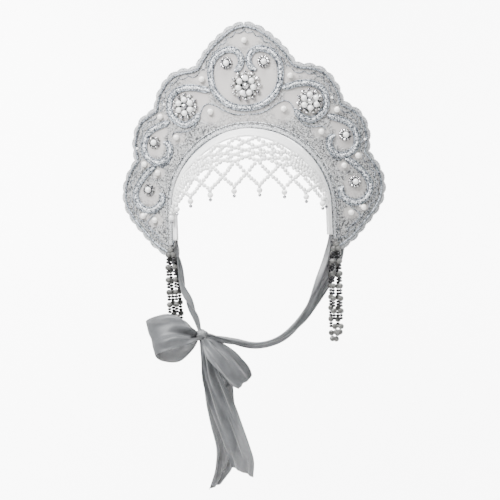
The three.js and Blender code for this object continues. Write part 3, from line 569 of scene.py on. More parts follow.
def laceStrip(lobe, side):
    # The strip runs from the panel's edge to a row of small scallops, and each scallop is one hump
    # of the absolute sine along the edge, with finer loops on its rim
    lace = {"reach": 0.0023, "scallop": 0.0022, "pitch": 0.0107, "wall": 0.0006, "rows": 5,
            "loop": 0.0005, "under": 0.0006, "rimCord": 0.00055, "midCord": 0.0004, "midLift": 0.0005}
    run, out, phase = lobeRun(lobe, side, 260, lace["pitch"])
    reach = lace["reach"] + lace["scallop"] * np.abs(np.sin(phase)) ** 0.6
    reach = reach + lace["loop"] * np.abs(np.sin(5 * phase))
    t = np.linspace(0, 1, lace["rows"])[None, :]
    spots = (run - lace["under"] * out)[:, None] + (reach[:, None] * t)[..., None] * out[:, None]
    depth = -0.5 * crest["wall"]
    front, back = (layOn(spots, depth + way * lace["wall"] / 2) for way in (1, -1))
    return [walled(front, back), crestTube(spots[:, -1], lace["rimCord"], depth, 6),
            crestTube(spots[:, 2], lace["midCord"], depth + lace["midLift"], 6)]


laceShapes = [shape for side in (1, -1) for lobe in lobes for shape in laceStrip(lobe, side)]
makePiece("lace_scallops", laceShapes, "lace", "lace_edging")


def inside(points, polygon):
    # A point is inside where a line to its right crosses the outline an odd number of times
    a, b = polygon, np.roll(polygon, -1, axis=0)
    x, z = points[:, :1], points[:, 1:]
    crosses = (a[:, 1] > z) != (b[:, 1] > z)
    rise = np.where(b[:, 1] == a[:, 1], 1e-12, b[:, 1] - a[:, 1])
    right = x < a[:, 0] + (z - a[:, 1]) / rise * (b[:, 0] - a[:, 0])
    return (crosses & right).sum(axis=1) % 2 == 1


def nearest(points, others):
    return np.sqrt(((points[:, None] - others[None]) ** 2).sum(axis=2)).min(axis=1)


def ringSites(ring, random):
    # Random spots on the laced places, clear of the gimp, the edge and each other
    spots = random.uniform([-0.125, -0.115], [0.125, 0.103], (ring["tries"], 2))
    spots = spots[inside(spots, outline)]
    radius = np.hypot(spots[:, 0], np.maximum(spots[:, 1] - archCentre, 0))
    spots = spots[radius > crest["arch"] + ring["arch"]]
    laced = lacedShare(spots[:, 0], spots[:, 1])
    spots = spots[random.uniform(0, 1, len(spots)) < laced * 1.3 - 0.2]
    sewn = np.vstack([heartCurve[::4]] + [run[::4] for run in scrollCurves.values()])
    spots = spots[(nearest(spots, outline) > ring["edge"]) & (nearest(spots, sewn) > ring["gimp"])]
    kept = spots[:1]
    for spot in spots[1:]:
        if len(kept) < ring["most"] and ((kept - spot) ** 2).sum(axis=1).min() > ring["gap"] ** 2:
            kept = np.vstack((kept, spot))
    return kept


def laceRings():
    # Each ring of thread is an ellipse, turned at random, with a small section carried round it
    ring = {"small": 0.0009, "large": 0.0017, "thread": 0.00028, "gap": 0.0029, "tries": 9000,
            "most": 1500,
            "edge": 0.0042, "gimp": 0.0046, "arch": 0.008, "lift": 0.0003, "squash": 0.72, "around": 9,
            "section": 4, "seed": 11}
    random = np.random.default_rng(ring["seed"])
    kept = ringSites(ring, random)
    size = random.uniform(ring["small"], ring["large"], len(kept))[:, None, None]
    turn = random.uniform(0, np.pi, len(kept))[:, None, None]
    around = np.linspace(0, 2 * np.pi, ring["around"], endpoint=False)[None, :, None]
    section = (np.linspace(0, 2 * np.pi, ring["section"], endpoint=False) + 0.4)[None, None, :]
    reach = size + ring["thread"] * np.cos(section)
    a, b = reach * np.cos(around), ring["squash"] * reach * np.sin(around)
    x = kept[:, 0, None, None] + a * np.cos(turn) - b * np.sin(turn)
    z = kept[:, 1, None, None] + a * np.sin(turn) + b * np.cos(turn)
    points = onCrest(x, z, ring["lift"] + ring["thread"] * np.sin(section))
    faces = gridFaces(ring["around"], ring["section"], True, True)
    first = ring["around"] * ring["section"] * np.arange(len(kept))[:, None, None]
    return outwards((points.reshape(-1, 3), [(faces[None] + first).reshape(-1, 4)]))


makePiece("lace_rings", [laceRings()], "lace")
print("crest made")

# Gimp: three light strands plaited between two darker twisted cords
gimp = {"width": 0.0064, "strand": 0.00085, "pitch": 0.0066, "lift": 0.0012, "rise": 0.0005,
        "edge": 0.0008, "step": 0.00052, "end": 0.004, "strandTwist": 0.0021, "edgeTwist": 0.0024}


def gimpShapes(run):
    # Each strand swings from side to side as a sine, a third of a turn apart, and rises where it
    # crosses; the gimp narrows to a third at its two ends
    length = runLength(run)
    run = evenly(run, int(length / gimp["step"]))
    along = np.linspace(0, length, len(run))
    side = sideways(run)
    swing = gimp["width"] / 2 - gimp["strand"] - 1.5 * gimp["edge"]
    taper = np.clip(np.minimum(along, length - along) / gimp["end"], 0.35, 1)
    strands, edges = [], []
    for k in range(3):
        phase = 2 * np.pi * (along / gimp["pitch"] + k / 3)
        spots = run + (swing * taper * np.sin(phase))[:, None] * side
        lift = gimp["lift"] + gimp["rise"] * np.cos(2 * phase)
        strands.append(crestTube(spots, gimp["strand"], lift, 8, gimp["strandTwist"], 0.2))
    for way in (-1, 1):
        spots = run + way * (gimp["width"] / 2 - gimp["edge"]) * taper[:, None] * side
        edges.append(crestTube(spots, gimp["edge"], gimp["edge"] + 0.0002, 8, gimp["edgeTwist"], 0.34))
    return strands, edges


def sewGimp(name, run, node):
    strands, edges = gimpShapes(run)
    makePiece(f"{name}_gimp", strands, "gimp", node)
    makePiece(f"{name}_edges", edges, "gimpShade")


sewGimp("heart", heartCurve, "heart_braid")
for (word, name), run in scrollCurves.items():
    sewGimp(f"{name}_{word}", run, f"{name}_{word}")

# Thin cords that follow the heart and scrolls below, and the lower scroll's tail
thinRuns = {
    "under": [(0.016, 0.138), (0.097, 0.144), (0.18, 0.188), (0.235, 0.232), (0.289, 0.257),
              (0.336, 0.234), (0.36, 0.171), (0.38, 0.102), (0.417, 0.041), (0.459, 0.006),
              (0.52, -0.003), (0.569, -0.001), (0.595, -0.028)],
    "tail": [(0.66, -0.592), (0.698, -0.61), (0.74, -0.652), (0.806, -0.716), (0.826, -0.742),
             (0.815, -0.778), (0.764, -0.825), (0.72, -0.866)],
    "leg": [(0.596, -0.1), (0.6, -0.155), (0.611, -0.21), (0.64, -0.262), (0.7, -0.29)],
}


def thinCords(side):
    cord = {"radius": 0.00062, "lift": 0.0005, "pitch": 0.0022}
    runs = [spline(crestSpot(rows, side), 260) for rows in thinRuns.values()]
    return [crestTube(run, cord["radius"], cord["lift"], 6, cord["pitch"]) for run in runs]


for side, word in bothSides:
    makePiece(f"thin_cords_{word}", thinCords(side), "gimpShade")

# Piping round the arch: a pale cord, with a fine dark one inside it and two fine light ones outside
piping = {"cord": 0.00135, "out": 0.0022, "twist": 0.0045, "fine": 0.00045, "fineTwist": 0.002,
          "inner": 0.0005, "outer": (0.0041, 0.0062), "points": 1300}


def pipingCord(radius, out, twist):
    run = archRun(crest["arch"] + out, archFoot + 0.002, piping["points"])
    return crestTube(run, radius, 0.0002 + radius, 10, twist)


def fineCord(out):
    return pipingCord(piping["fine"], out, piping["fineTwist"])


thickCord = pipingCord(piping["cord"], piping["out"], piping["twist"])
makePiece("arch_cord", [thickCord], "lace", "arch_piping")
makePiece("arch_inner_cord", [fineCord(piping["inner"])], "gimpShade")
makePiece("arch_outer_cords", [fineCord(out) for out in piping["outer"]], "gimp")
print("gimp made")

# Brow: the surface that the band's front edge and the net follow
brow = {"halfWidth": 0.0712, "fall": 0.053, "taper": 0.31, "wrap": 0.034, "swell": 0.16,
        "bandDrop": 0.0084, "bandDepth": 0.028}


def browEdge(angle):
    return crest["archTop"] - brow["bandDrop"] - brow["fall"] * (1 - np.cos(angle))


def browPoint(angle, fall):
    # An ellipse in plan that widens downwards, and comes forward as it falls
    z = browEdge(angle) - fall
    halfWidth = brow["halfWidth"] - brow["taper"] * (z - browEdge(np.pi / 2))
    y = brow["wrap"] * (1 - np.cos(angle)) - brow["bandDepth"] - brow["swell"] * fall
    return np.stack((halfWidth * np.sin(angle), y, z), axis=-1)


# Headband: satin from the arch's rim forward to the brow
def headbandShape():
    # Straight lines join the rim to the brow's edge, round the arc and down both legs; the sheet
    # puffs up between them, with soft folds worked out as sines
    band = {"wall": 0.0025, "puff": 0.002, "legs": 24, "arc": 220, "columns": 22, "fold": 0.0009,
            "inset": 0.0003, "foot": -0.917}
    rimRadius = crest["arch"] - band["inset"]
    foot = heightAt(band["foot"]) + 0.002
    angle = np.linspace(np.pi / 2, -np.pi / 2, band["arc"])
    down = np.linspace(1, 0, band["legs"], endpoint=False)
    temple = browPoint(np.pi / 2, 0.0)
    leg = temple + ((foot - temple[2]) * down)[:, None] * [0, 0, 1]
    front = np.vstack((leg, browPoint(angle, 0.0), (leg * [-1, 1, 1])[::-1]))
    legZ = archCentre + (foot - archCentre) * down
    rimX = rimRadius * np.concatenate((np.ones(len(down)), np.sin(angle), -np.ones(len(down))))
    rimZ = np.concatenate((legZ, archCentre + rimRadius * np.cos(angle), legZ[::-1]))
    rim = onCrest(rimX, rimZ, -crest["wall"])
    centre = np.column_stack((np.zeros(len(rim)), rim[:, 1], np.minimum(archCentre, rim[:, 2])))
    outward = unit((rim - centre) * [1, 0, 1])[:, None]
    t = np.linspace(0, 1, band["columns"])[None, :]
    rows = np.linspace(0, 1, len(rim))[:, None]
    fold = np.sin(2 * np.pi * (3.2 * t + 0.9 * np.sin(5 * np.pi * rows)))
    fold = band["fold"] * fold * np.sin(np.pi * t) * (0.6 + 0.4 * np.sin(23 * rows + 2))
    lift = band["puff"] * 4 * t * (1 - t) + fold
    sheet = rim[:, None] * (1 - t)[..., None] + front[:, None] * t[..., None]
    outer = sheet + (lift + band["wall"] * t)[..., None] * outward
    inner = sheet + (lift + band["wall"] * (t - 1))[..., None] * outward
    return walled(outer, inner)


makePiece("satin_band", [headbandShape()], "satin", "headband")

# Net: the shares say how far down its hang the crossings lie, on the columns with a drop and
# on those between
net = {"hang": 0.05, "shrink": 0.033, "gap": 0.0003, "bead": 0.0021, "step": 0.0037, "pearl": 0.0028,
       "drop": 0.0017, "cap": 0.0013, "foot": 0.0016, "halfPitch": 10, "jitter": 0.00022, "seed": 5}
dropShares = [0, 0.18, 0.31, 0.44, 0.92]
betweenShares = [0.09, 0.245, 0.375, 0.69]


def netPoint(column, share):
    # column counts half pitches from the middle, share is the part of the hang below the band
    angle = np.asarray(column, dtype=float) * np.radians(net["halfPitch"])
    fall = net["gap"] + np.asarray(share) * (net["hang"] - net["shrink"] * (1 - np.cos(angle)))
    return browPoint(angle, fall)


def netStrands():
    # Rhombs from column to column, with one half rhomb more at the right temple
    strands = []
    for column in range(-9, 8, 2):
        for k in range(4):
            for way in (-1, 1) if column > -9 else (1,):
                side = (column + way, betweenShares[k])
                strands += [((column, dropShares[k]), side), (side, (column, dropShares[k + 1]))]
    return strands


def netBeads():
    # A bead at each crossing, and the strands between filled at an even step, each a little in or out
    strands = netStrands()
    crossings = sorted({spot for strand in strands for spot in strand})
    centres = [np.array([netPoint(*spot) for spot in crossings])]
    for upper, lower in strands:
        a, b = netPoint(*upper), netPoint(*lower)
        count = max(int(round(np.linalg.norm(b - a) / net["step"])), 2)
        centres.append(a + (b - a) * (np.arange(1, count) / count)[:, None])
    centres = np.vstack(centres)
    random = np.random.default_rng(net["seed"])
    centres += random.normal(0, net["jitter"], centres.shape)
    return ballShape(centres, net["bead"] * random.uniform(0.95, 1.05, len(centres)), 3)


dropColumns = np.array([*range(-9, 8, 2), 8.0])
dropFeet = netPoint(dropColumns, np.where(dropColumns == 8, betweenShares[-1], dropShares[-1]))
dropPearls = dropFeet - [0, 0, net["foot"] + net["pearl"]]
dropBeads = dropPearls - [0, 0, net["pearl"] + net["drop"]]
netPearls = [netBeads(), ballShape(dropPearls, net["pearl"], 5)]
makePiece("net_pearls", netPearls, "netPearl", "bead_net")
caps = np.vstack((dropBeads, dropPearls + [0, 0, net["pearl"] * 0.95]))
capRadii = np.repeat((net["drop"], net["cap"]), len(dropBeads))
makePiece("net_silver_drops", [ballShape(caps, capRadii, 4)], "dropSilver")
print("net made")

# Sewn stones
topPearl = (0.0, 0.854)
pairedPearls = [(0.339, 0.496), (0.281, 0.179), (0.557, -0.046), (0.68, 0.155), (0.824, -0.254),
                (0.717, -0.332), (0.85, -0.684), (0.756, -0.725)]
rosetteSpots = [(0.143, 0.641), (0.737, -0.078), (0.797, -0.469)]
stones = {"pearl": 0.0029, "seat": 0.0022}


def pearlOnCrest(spots, lift, radius, cuts=6):
    return ballShape(layOn(spots, lift), radius, cuts)


def sewPearl(name, row, side):
    ball = pearlOnCrest(crestSpot(row, side), stones["seat"], stones["pearl"])
    makePiece(f"{name}_round", [ball], "pearl", name)


sewPearl("pearl_top", topPearl, 1)
for side, word in bothSides:
    for k, row in enumerate(pairedPearls):
        sewPearl(f"pearl_{word}_{k + 1}", row, side)


def ringSpots(spot, radius, count, turn=0.0):
    # Evenly round a circle, from the turn on
    angle = np.linspace(0, 2 * np.pi, count, endpoint=False) + turn
    return spot + radius * np.column_stack((np.cos(angle), np.sin(angle)))


def dishShape(spot, radius, height, petals, rows=9, columns=48):
    # A low dish whose rim swells once for each petal, and whose height falls with the fourth
    # power of the way out
    angle = np.linspace(0, 2 * np.pi, columns, endpoint=False)
    t = np.linspace(0.02, 1, rows)[:, None]
    reach = t * radius * (1 + 0.07 * np.cos(petals * angle))
    x, z = spot[0] + reach * np.cos(angle), spot[1] + reach * np.sin(angle)
    top, low = onCrest(x, z, 0.0003 + height * (1 - t**4)), onCrest(x, z, 0.00025)
    return outwards(gridShape(np.concatenate((top, low[::-1])), closed=True))


# Where two numbers stand together, they are how far the balls stand off the cloth, and their radius
rosette = {"dish": 0.0047, "height": 0.0009, "ring": 0.0046, "stones": 11, "stone": (0.0016, 0.00115),
           "prongRing": 0.0057, "prong": (0.0009, 0.00055), "pearl": (0.003, stones["pearl"])}
for side, word in bothSides:
    for k, row in enumerate(rosetteSpots):
        name, spot, count = f"rosette_{word}_{k + 1}", crestSpot(row, side)[0], rosette["stones"]
        prongs = ringSpots(spot, rosette["prongRing"], count, np.pi / count)
        gems = pearlOnCrest(ringSpots(spot, rosette["ring"], count), *rosette["stone"], 2)
        setting = [dishShape(spot, rosette["dish"], rosette["height"], count),
                   pearlOnCrest(prongs, *rosette["prong"], 2)]
        makePiece(f"{name}_setting", setting, "darkSilver", name)
        makePiece(f"{name}_stones", [gems], "crystal", smooth=False)
        makePiece(f"{name}_pearl", [pearlOnCrest(spot, *rosette["pearl"])], "netPearl")

flowers = {
    "centre": {"spot": (0.0, 0.413), "dish": 0.0102, "ring": 0.0073, "pearls": 7, "stones": 12,
               "stoneRing": 0.0131},
    "side": {"spot": (0.479, 0.242), "dish": 0.0086, "ring": 0.0064, "pearls": 6, "stones": 11,
             "stoneRing": 0.0109},
}
spray = {"dish": 0.0011, "stone": (0.0022, 0.0016), "prong": (0.0016, 0.0007), "seed": (0.0012, 0.001),
         "pearl": (0.0038, stones["pearl"] * 0.97), "centre": (0.0042, 0.0029), "wire": (0.0004, 0.001),
         "seedRing": 0.9, "claws": ((0.7, 0.7), (-0.7, 0.7), (0, -1)), "grip": 1.05}


def sprayWires(spot, gems):
    # Straight wires out from under the pearls, one to each stone
    t = np.linspace(0.55, 1, 6)[:, None]
    return [crestTube(spot + t * (gem - spot), *spray["wire"], 6) for gem in gems]


for side, word in ((1, "centre"), *bothSides):
    flower = flowers.get(word, flowers["side"])
    name, spot, count = f"flower_{word}", crestSpot(flower["spot"], side)[0], flower["stones"]
    petals = ringSpots(spot, flower["ring"], flower["pearls"], np.pi / 2)
    gems = ringSpots(spot, flower["stoneRing"], count, np.pi / 2)
    between = ringSpots(spot, flower["stoneRing"] * spray["seedRing"], count, np.pi / 2 + np.pi / count)
    grip = spray["stone"][1] * spray["grip"]
    claws = np.vstack([gems + grip * np.array(way) for way in spray["claws"]])
    dish = dishShape(spot, flower["dish"], spray["dish"], flower["pearls"])
    makePiece(f"{name}_dish", [dish], "crystal", name)
    prongs = [pearlOnCrest(claws, *spray["prong"], 2)] + sprayWires(spot, gems)
    makePiece(f"{name}_prongs", prongs, "darkSilver")
    gemBalls = pearlOnCrest(gems, *spray["stone"], 2)
    makePiece(f"{name}_stones", [gemBalls], "crystal", smooth=False)
    makePiece(f"{name}_pearls", [pearlOnCrest(petals, *spray["pearl"])], "netPearl")
    makePiece(f"{name}_seeds", [pearlOnCrest(between, *spray["seed"], 3)], "netPearl")
    makePiece(f"{name}_centre", [pearlOnCrest(spot, *spray["centre"])], "domeSilver")

seedSpots = [(0.65, 0.271), (0.602, 0.323), (0.603, 0.181), (0.682, 0.144), (0.829, -0.671),
             (0.838, -0.259), (0.036, 0.598), (0.885, -0.12)]
for side, word in bothSides:
    seeds = pearlOnCrest(crestSpot(seedSpots, side), 0.0008, 0.0013, 3)
    makePiece(f"sewn_seeds_{word}", [seeds], "netPearl")
print("stones made")

# Side strings: each has two loops, and each loop goes down, round its foot and up again
string = {"length": 0.094, "gap": 0.0034, "pearl": 0.0028, "bead": 0.002, "top": 0.0032, "flat": 0.68,
          "unit": 0.011, "inward": (0.0012, 0.0052), "start": (0.0045, 0.0085), "depth": 0.006,
          "cluster": 0.0112, "lift": 0.0035, "foot": 0.0023, "stagger": 0.0064}


def stringPath(side, place, inward):
    # One strand down and the same mirrored up; both drift inwards by the root of the way down
    tip = crestSpot((0.632, -0.982), side)[0]
    top = layOn(tip, string["lift"])
    bottom = top[2] - string["length"] + string["foot"] + abs(place - 0.5) * string["stagger"]
    shares = np.array([1, 0.9, 0.75, 0.5, 0.25, 0.06, 0])
    spread = np.array([0.35, 0.8, 1, 1, 1, 0.8, 0])
    drift = side * inward * (1 - shares) ** 0.5
    depth = top[1] + place * string["depth"] * np.clip(spread, 0.35, 1)
    down = np.column_stack((-spread * string["gap"], depth, bottom + shares * (top[2] - bottom)))
    both = np.vstack((down, down[-2::-1] * [-1, 1, 1]))
    both[:, 0] += top[0] - np.concatenate((drift, drift[-2::-1]))
    return spline(both, 900), top


def alongPath(path, places):
    return pointsAt(path, np.linspace(0, runLength(path), len(path)), places)


def threadString(path, start):
    # One pearl and two beads again and again down each strand, and four pearls round the bottom
    half = runLength(path) / 2
    reach = half - string["cluster"] - start
    count = int(round(reach / string["unit"]))
    pearls = start + reach / count * np.arange(count)
    steps = string["pearl"] + (2 * np.arange(2) + 1) * string["bead"] * string["flat"]
    beads = (pearls[:, None] + steps).reshape(-1)
    low = half + string["pearl"] * np.array([-3.0, -1.0, 1.0, 3.0])
    pearls = np.concatenate((pearls, low, 2 * half - pearls))
    beads = np.concatenate((beads, 2 * half - beads))
    lean = unit(alongPath(path, beads + 0.0003) - alongPath(path, beads - 0.0003))
    return alongPath(path, pearls), alongPath(path, beads), lean


for side, word in bothSides:
    threaded = []
    for place, inward, start in zip((-0.5, 0.5), string["inward"], string["start"]):
        path, top = stringPath(side, place, inward)
        threaded.append(threadString(path, start))
    pearls, beads, lean = (np.vstack(parts) for parts in zip(*threaded))
    radii = np.append(np.full(len(pearls), string["pearl"]), string["top"])
    pearlBalls = ballShape(np.vstack((pearls, top)), radii, 5)
    makePiece(f"string_pearls_{word}", [pearlBalls], "greyPearlPaintedShade", f"pendant_{word}")
    beadBalls = ballShape(beads, string["bead"], 4, (lean, string["flat"]))
    makePiece(f"string_beads_{word}", [beadBalls], "beadPaintedReflection")
print("side strings made")

# Ribbon ties, with the same stations as the solids: a row has its place in shares of the sizes
# here, any turns in degrees and the share of the full width, in the order its function reads them
ribbon = {"width": 0.042, "spread": 0.07698, "knotDrop": 0.194, "knotOut": 0.0505, "knotForward": 0.012,
          "bow": 0.053, "bowSlant": 0.3, "droop": 0.062, "droopLean": -49, "droopTurn": 50,
          "tail": 0.147, "behind": 0.0014, "forwardShare": 0.62, "wall": 0.0004}
knotCentre = np.array([-ribbon["knotOut"], -ribbon["knotForward"],
                       crest["archTop"] - ribbon["knotDrop"]])
strapRows = {
    "right": [
        (1.04, 1.0, 0.512, 0, 0.34), (1.03, 1.02, 0.574, 2, 0.42), (0.985, 1.04, 0.652, 24, 0.57),
        (0.883, 0.83, 0.749, 36, 0.64), (0.721, 0.42, 0.858, 58, 0.62), (0.545, 0.0, 0.961, 66, 0.59),
        (0.312, -0.36, 1.033, 68, 0.57), (0.026, -0.52, 1.059, 68, 0.57), (-0.26, -0.5, 1.04, 68, 0.46),
        (-0.494, -0.5, 1.012, 68, 0.3), (-0.61, -0.56, 0.998, 68, 0.14),
    ],
    "left": [
        (1.04, 1.0, 0.512, 0, 0.34), (1.03, 1.02, 0.574, 2, 0.4), (0.97, 0.94, 0.657, 45, 0.46),
        (0.883, 0.57, 0.78, 62, 0.52), (0.747, 0.0, 0.899, 66, 0.38), (0.676, -0.5, 0.975, 68, 0.16),
    ],
}
bowRows = [
    (0.08, 0.05, 0.01, 0.2, 8), (0.226, 0.2, 0.05, 0.56, 14), (0.49, 0.27, 0.11, 0.82, 24),
    (0.76, 0.22, 0.05, 0.93, 32), (0.91, 0.04, -0.03, 0.92, 34), (0.79, -0.17, -0.11, 0.97, 32),
    (0.49, -0.21, -0.12, 0.96, 26), (0.226, -0.12, -0.06, 0.58, 14), (0.08, -0.05, 0.0, 0.18, 8),
]
droopRows = [
    (0.08, 0.07, 0.0, 0.17), (0.26, 0.15, 0.0, 0.55), (0.55, 0.2, 0.02, 0.8), (0.84, 0.15, 0.0, 0.82),
    (0.99, 0.02, 0.0, 0.6), (0.84, -0.09, -0.01, 0.76), (0.55, -0.12, 0.0, 0.7),
    (0.26, -0.08, 0.0, 0.45), (0.08, -0.03, 0.0, 0.15),
]
tailRows = {
    "left": [
        (0.0, 0.0, 0.005, 10, 0, 0.1), (0.012, -0.02, 0.05, 10, 0, 0.18),
        (0.05, -0.05, 0.14, 14, 0, 0.45), (0.085, -0.06, 0.24, 18, 0, 0.68),
        (0.1, -0.05, 0.43, 18, 0, 0.68), (0.125, -0.03, 0.59, 20, 0, 0.66),
        (0.132, -0.02, 0.72, 22, 3, 0.52), (0.11, -0.03, 0.84, 22, 8, 0.42),
        (0.078, -0.05, 0.92, 18, 15, 0.34), (0.044, -0.06, 0.985, 12, 24, 0.3),
    ],
    "right": [
        (0.0, 0.01, 0.005, -6, 0, 0.1), (0.018, 0.03, 0.06, -6, 0, 0.16),
        (0.045, 0.055, 0.16, -10, 0, 0.32), (0.07, 0.06, 0.28, -12, 0, 0.48),
        (0.115, 0.06, 0.43, -14, 0, 0.6), (0.16, 0.07, 0.58, -16, 0, 0.64),
        (0.205, 0.08, 0.72, -18, -4, 0.66), (0.23, 0.08, 0.8, -16, -12, 0.64),
        (0.24, 0.07, 0.89, -12, -25, 0.56),
    ],
}


def strapStations(rows, side):
    # Out from the middle, back and down; the ribbon turns with the crest's slope at its tip
    out, back, down, turn, width = np.array(rows).T
    backRadius = crest["bend"] - crest["wall"]
    slope = np.arcsin(ribbon["spread"] / backRadius)
    setback = crest["bend"] - backRadius * np.cos(slope) + ribbon["behind"]
    turn = slope + np.radians(turn)
    across = np.column_stack((side * np.cos(turn), np.sin(turn), np.zeros(len(turn))))
    reach = np.where(back > 0, setback, ribbon["knotForward"] / ribbon["forwardShare"])
    place = np.column_stack((side * out * ribbon["spread"], back * reach,
                             crest["archTop"] - down * ribbon["knotDrop"]))
    return place, across * (width * ribbon["width"])[:, None]


def bowStations():
    # The lower edge leans forwards, so that the loop's mouth shows from the front, and slants in
    # towards the knot, more the farther out it is
    out, forward, up, width, lean = np.array(bowRows).T
    lean = np.radians(lean)
    place = knotCentre + np.column_stack((-out, -forward, up)) * ribbon["bow"]
    across = np.column_stack((-ribbon["bowSlant"] * out, np.sin(lean), np.cos(lean)))
    return place, across * (width * ribbon["width"])[:, None]


def droopStations():
    # Out along a line that leans down, with the ribbon turned towards the front
    out, forward, up, width = np.array(droopRows).T[:, :, None]
    lean, turn = np.radians(ribbon["droopLean"]), np.radians(ribbon["droopTurn"])
    along = np.array([np.cos(lean), 0, np.sin(lean)])
    rise = np.array([-np.sin(lean), 0, np.cos(lean)])
    place = knotCentre + ribbon["droop"] * (out * along + up * rise + forward * [0, -1, 0])
    return place, width * ribbon["width"] * (rise * np.cos(turn) + [0, np.sin(turn), 0])


def tailStations(rows):
    # Out, forward and down from the knot; the ribbon turns about the upright, then tilts
    out, forward, down, turn, tilt, width = np.array(rows).T
    turn, tilt = np.radians(turn), np.radians(tilt)
    place = knotCentre + np.column_stack((out, -forward, -down)) * ribbon["tail"]
    across = np.column_stack((np.cos(tilt) * np.cos(turn), np.cos(tilt) * np.sin(turn), np.sin(tilt)))
    return place, across * (width * ribbon["width"])[:, None]


def stationCurve(points, count):
    padded = np.vstack((2 * points[:1] - points[1:2], points, 2 * points[-1:] - points[-2:-1]))
    return curveThrough(padded, count)


pleat = {"step": 0.0012, "leastRows": 40, "columns": 60, "gathered": 0.0032, "fullWidth": 0.02,
         "calmReach": 0.13}


def ribbonSheet(name, node, stations, fold, pleats, seed, depth, calm, calmAt):
    # Stations joined by splines give the middle line and the width; pleats are sines across the
    # width, deeper where the ribbon is gathered narrower and calmed about one place of the run
    place, across = stations
    length = runLength(stationCurve(place, 200))
    rows = max(int(length / pleat["step"]), pleat["leastRows"])
    dense = stationCurve(np.hstack((place, across)), rows)
    middle, half = dense[:, :3], dense[:, 3:] / 2
    normal = unit(np.cross(unit(np.gradient(middle, axis=0)), half))
    width = 2 * np.linalg.norm(half, axis=1)[:, None]
    t = np.linspace(0, 1, rows)[:, None]
    s = np.linspace(-1, 1, pleat["columns"])[None, :]
    gather = np.clip(1 - width / ribbon["width"], 0, 0.85)
    phase = seed + 1.3 * np.sin(2.1 * np.pi * t + seed) + 0.6 * s
    wave = np.sin(np.pi * pleats * s + phase) + 0.45 * np.sin(2.3 * np.pi * pleats * s - 2 * phase)
    depth = (depth + pleat["gathered"] * gather) * np.clip(width / pleat["fullWidth"], 0.3, 1)
    depth = depth * (1 - calm * np.exp(-((t - calmAt) / pleat["calmReach"]) ** 2))
    crease = fold * width / 2 * np.sin(np.pi * t) * (1 - np.abs(s))
    lift = crease + depth * wave * (0.75 + 0.25 * np.abs(s))
    points = middle[:, None] + s[..., None] * half[:, None] + lift[..., None] * normal[:, None]
    uv = np.stack(np.broadcast_arrays((s + 1) / 2 * ribbon["width"], t * length), axis=-1)
    piece = makePiece(name, [gridShape(points)], "ribbon", node, uv=uv.reshape(-1, 2))
    solid = piece.modifiers.new("thickness", "SOLIDIFY")
    solid.thickness = ribbon["wall"]
    solid.offset = 0


# Each ribbon's node and stations, its middle crease, pleats, their seed and depth, and how much
# and where they are calmed
ribbons = {
    "strap_right": ("strap_right", strapStations(strapRows["right"], 1),
                     0.1, 2.5, 0.4, 0.0012, 0.75, 0.0),
    "strap_left": ("strap_left", strapStations(strapRows["left"], -1),
                    0.1, 2.5, 1.9, 0.0012, 0.75, 0.0),
    "bow_left": ("bow_loop_left", bowStations(), 0.0, 1.5, 2.6, 0.0017, 0.8, 0.5),
    "bow_right": ("bow_loop_right", droopStations(), 0.0, 1.5, 0.9, 0.0016, 0.8, 0.5),
    "tail_left": ("tail_left", tailStations(tailRows["left"]), -0.2, 1.7, 1.2, 0.0017, 0.5, 1.0),
    "tail_right": ("tail_right", tailStations(tailRows["right"]), 0.2, 1.7, 3.1, 0.0017, 0.5, 1.0),
}
for name, values in ribbons.items():
    ribbonSheet(f"{name}_ribbon", *values)


def knotShape():    # A squashed ball with soft folds running round it
    knot = {"radius": 0.0058, "wide": 1.15, "tall": 0.95, "deep": 0.0052, "fold": 0.07}
    u = np.linspace(0, 2 * np.pi, 48, endpoint=False)[None, :]
    v = np.linspace(0.03, np.pi - 0.03, 30)[:, None]
    radius = knot["radius"] * (1 + knot["fold"] * np.sin(5 * u + 2 * np.sin(2 * v))) * np.sin(v)
    y = knot["deep"] * np.cos(v) + 0 * u
    x, z = knot["wide"] * radius * np.cos(u), knot["tall"] * radius * np.sin(u)
    uv = np.stack(np.broadcast_arrays(u * 0.006, v * 0.005), axis=-1).reshape(-1, 2)
    return outwards(gridShape(knotCentre + np.stack((x, y, z), axis=-1), closed=True)), uv


knotSurface, knotUv = knotShape()
makePiece("ribbon_knot", [knotSurface], "ribbon", "bow_knot", uv=knotUv)
print("ribbons made")

# Stage, light and camera
def backdropShape():
    # A floor that curves up by a quarter circle into a wall behind
    stage = {"floor": -0.72, "front": -6.0, "back": 3.9, "curve": 0.6, "height": 4.5, "half": 6.0}
    angle = np.linspace(0, np.pi / 2, 24)
    wall = stage["back"] + stage["curve"]
    y = np.concatenate(([stage["front"]], stage["back"] + stage["curve"] * np.sin(angle), [wall]))
    z = stage["floor"] + np.concatenate(([0], stage["curve"] * (1 - np.cos(angle)), [stage["height"]]))
    x = np.array([-stage["half"], stage["half"]])
    return gridShape(np.stack(np.broadcast_arrays(x[None, :], y[:, None], z[:, None]), axis=-1))


def setBackdrop():
    points, faceSets = backdropShape()
    mesh = bpy.data.meshes.new("backdrop")
    mesh.from_pydata(points.tolist(), [], faceSets[0].tolist())
    mesh.polygons.foreach_set("use_smooth", np.full(len(mesh.polygons), True))
    backdrop = bpy.data.objects.new("backdrop", mesh)
    bpy.context.scene.collection.objects.link(backdrop)
    material, tree, shader = newMaterial("backdrop", (0.95, 0.95, 0.95), 0.9)
    clouds = addNoise(tree, objectCoords(tree), 3)
    colourBetween(tree, clouds, (0.94, 0.94, 0.94), (0.96, 0.96, 0.96), shader)
    mesh.materials.append(material)


setBackdrop()


def turnTo(thing, right, up, back):
    # A light and a camera look against their own back axis
    turn = Matrix((right.tolist(), up.tolist(), back.tolist())).transposed()
    thing.rotation_euler = turn.to_euler()


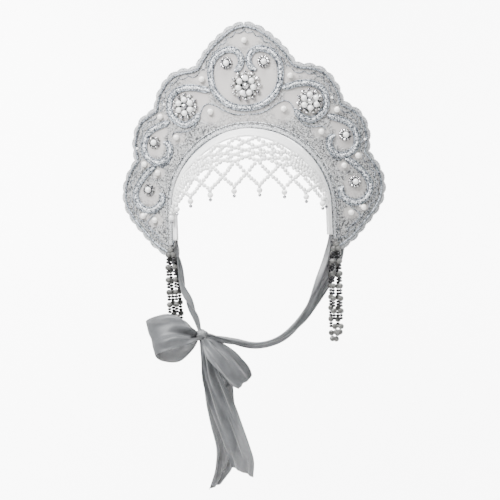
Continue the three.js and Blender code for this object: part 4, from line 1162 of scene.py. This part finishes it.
def softLight(name, place, target, size, power):
    data = bpy.data.lights.new(name, "AREA")
    data.shape = "DISK"
    data.size = size
    data.energy = power
    light = bpy.data.objects.new(name, data)
    bpy.context.scene.collection.objects.link(light)
    light.location = place
    back = unit(np.array(place) - np.array(target))
    right = unit(np.cross((0.0, 0.0, 1.0), back))
    turnTo(light, right, np.cross(back, right), back)


# Each light's place, what it points at, its width in metres and its power in watts
lights = {
    "key": ((-0.6, -0.85, 0.85), (0, 0, -0.05), 0.45, 50),
    "fill": ((1.5, -1.6, 0.2), (0, 0, -0.1), 1.6, 14),
    "top": ((0.1, -0.5, 1.7), (0, 0, -0.05), 0.7, 62),
    "back": ((1.2, 2.0, 1.2), (0, 0.05, -0.1), 0.8, 26),
    "wall_left": ((-1.5, 3.0, 0.5), (0.2, 4.5, -0.2), 0.9, 240),
    "wall_right": ((1.5, 3.0, 0.5), (-0.2, 4.5, -0.2), 0.9, 240),
}
for name, values in lights.items():
    softLight(name, *values)

world = bpy.data.worlds.new("studio")
world.use_nodes = True
world.node_tree.nodes["Background"].inputs["Color"].default_value = (1, 1, 1, 1)
world.node_tree.nodes["Background"].inputs["Strength"].default_value = 0.3
bpy.context.scene.world = world

# The frame is the height and width in metres that the view takes in at the aim
view = {"turn": 4.8, "roll": 2.2, "lens": 250, "sensor": 36, "frame": 0.475, "far": 20,
        "aim": (-0.00208, 0.0, -0.1125)}


def addCamera():
    # The camera stands off along the turned view line and rolls about it
    turn, roll = np.radians(view["turn"]), np.radians(view["roll"])
    right = np.array([np.cos(turn), np.sin(turn), 0])
    up = np.array([0, 0, 1.0])
    back = np.array([np.sin(turn), -np.cos(turn), 0])
    data = bpy.data.cameras.new("camera")
    data.lens = view["lens"]
    data.sensor_width = view["sensor"]
    data.clip_end = view["far"]
    camera = bpy.data.objects.new("camera", data)
    bpy.context.scene.collection.objects.link(camera)
    distance = view["lens"] / view["sensor"] * view["frame"]
    camera.location = view["aim"][0] * right + view["aim"][2] * up + distance * back
    rolledRight = right * np.cos(roll) - up * np.sin(roll)
    rolledUp = right * np.sin(roll) + up * np.cos(roll)
    turnTo(camera, rolledRight, rolledUp, back)
    bpy.context.scene.camera = camera


addCamera()

print("scene made")
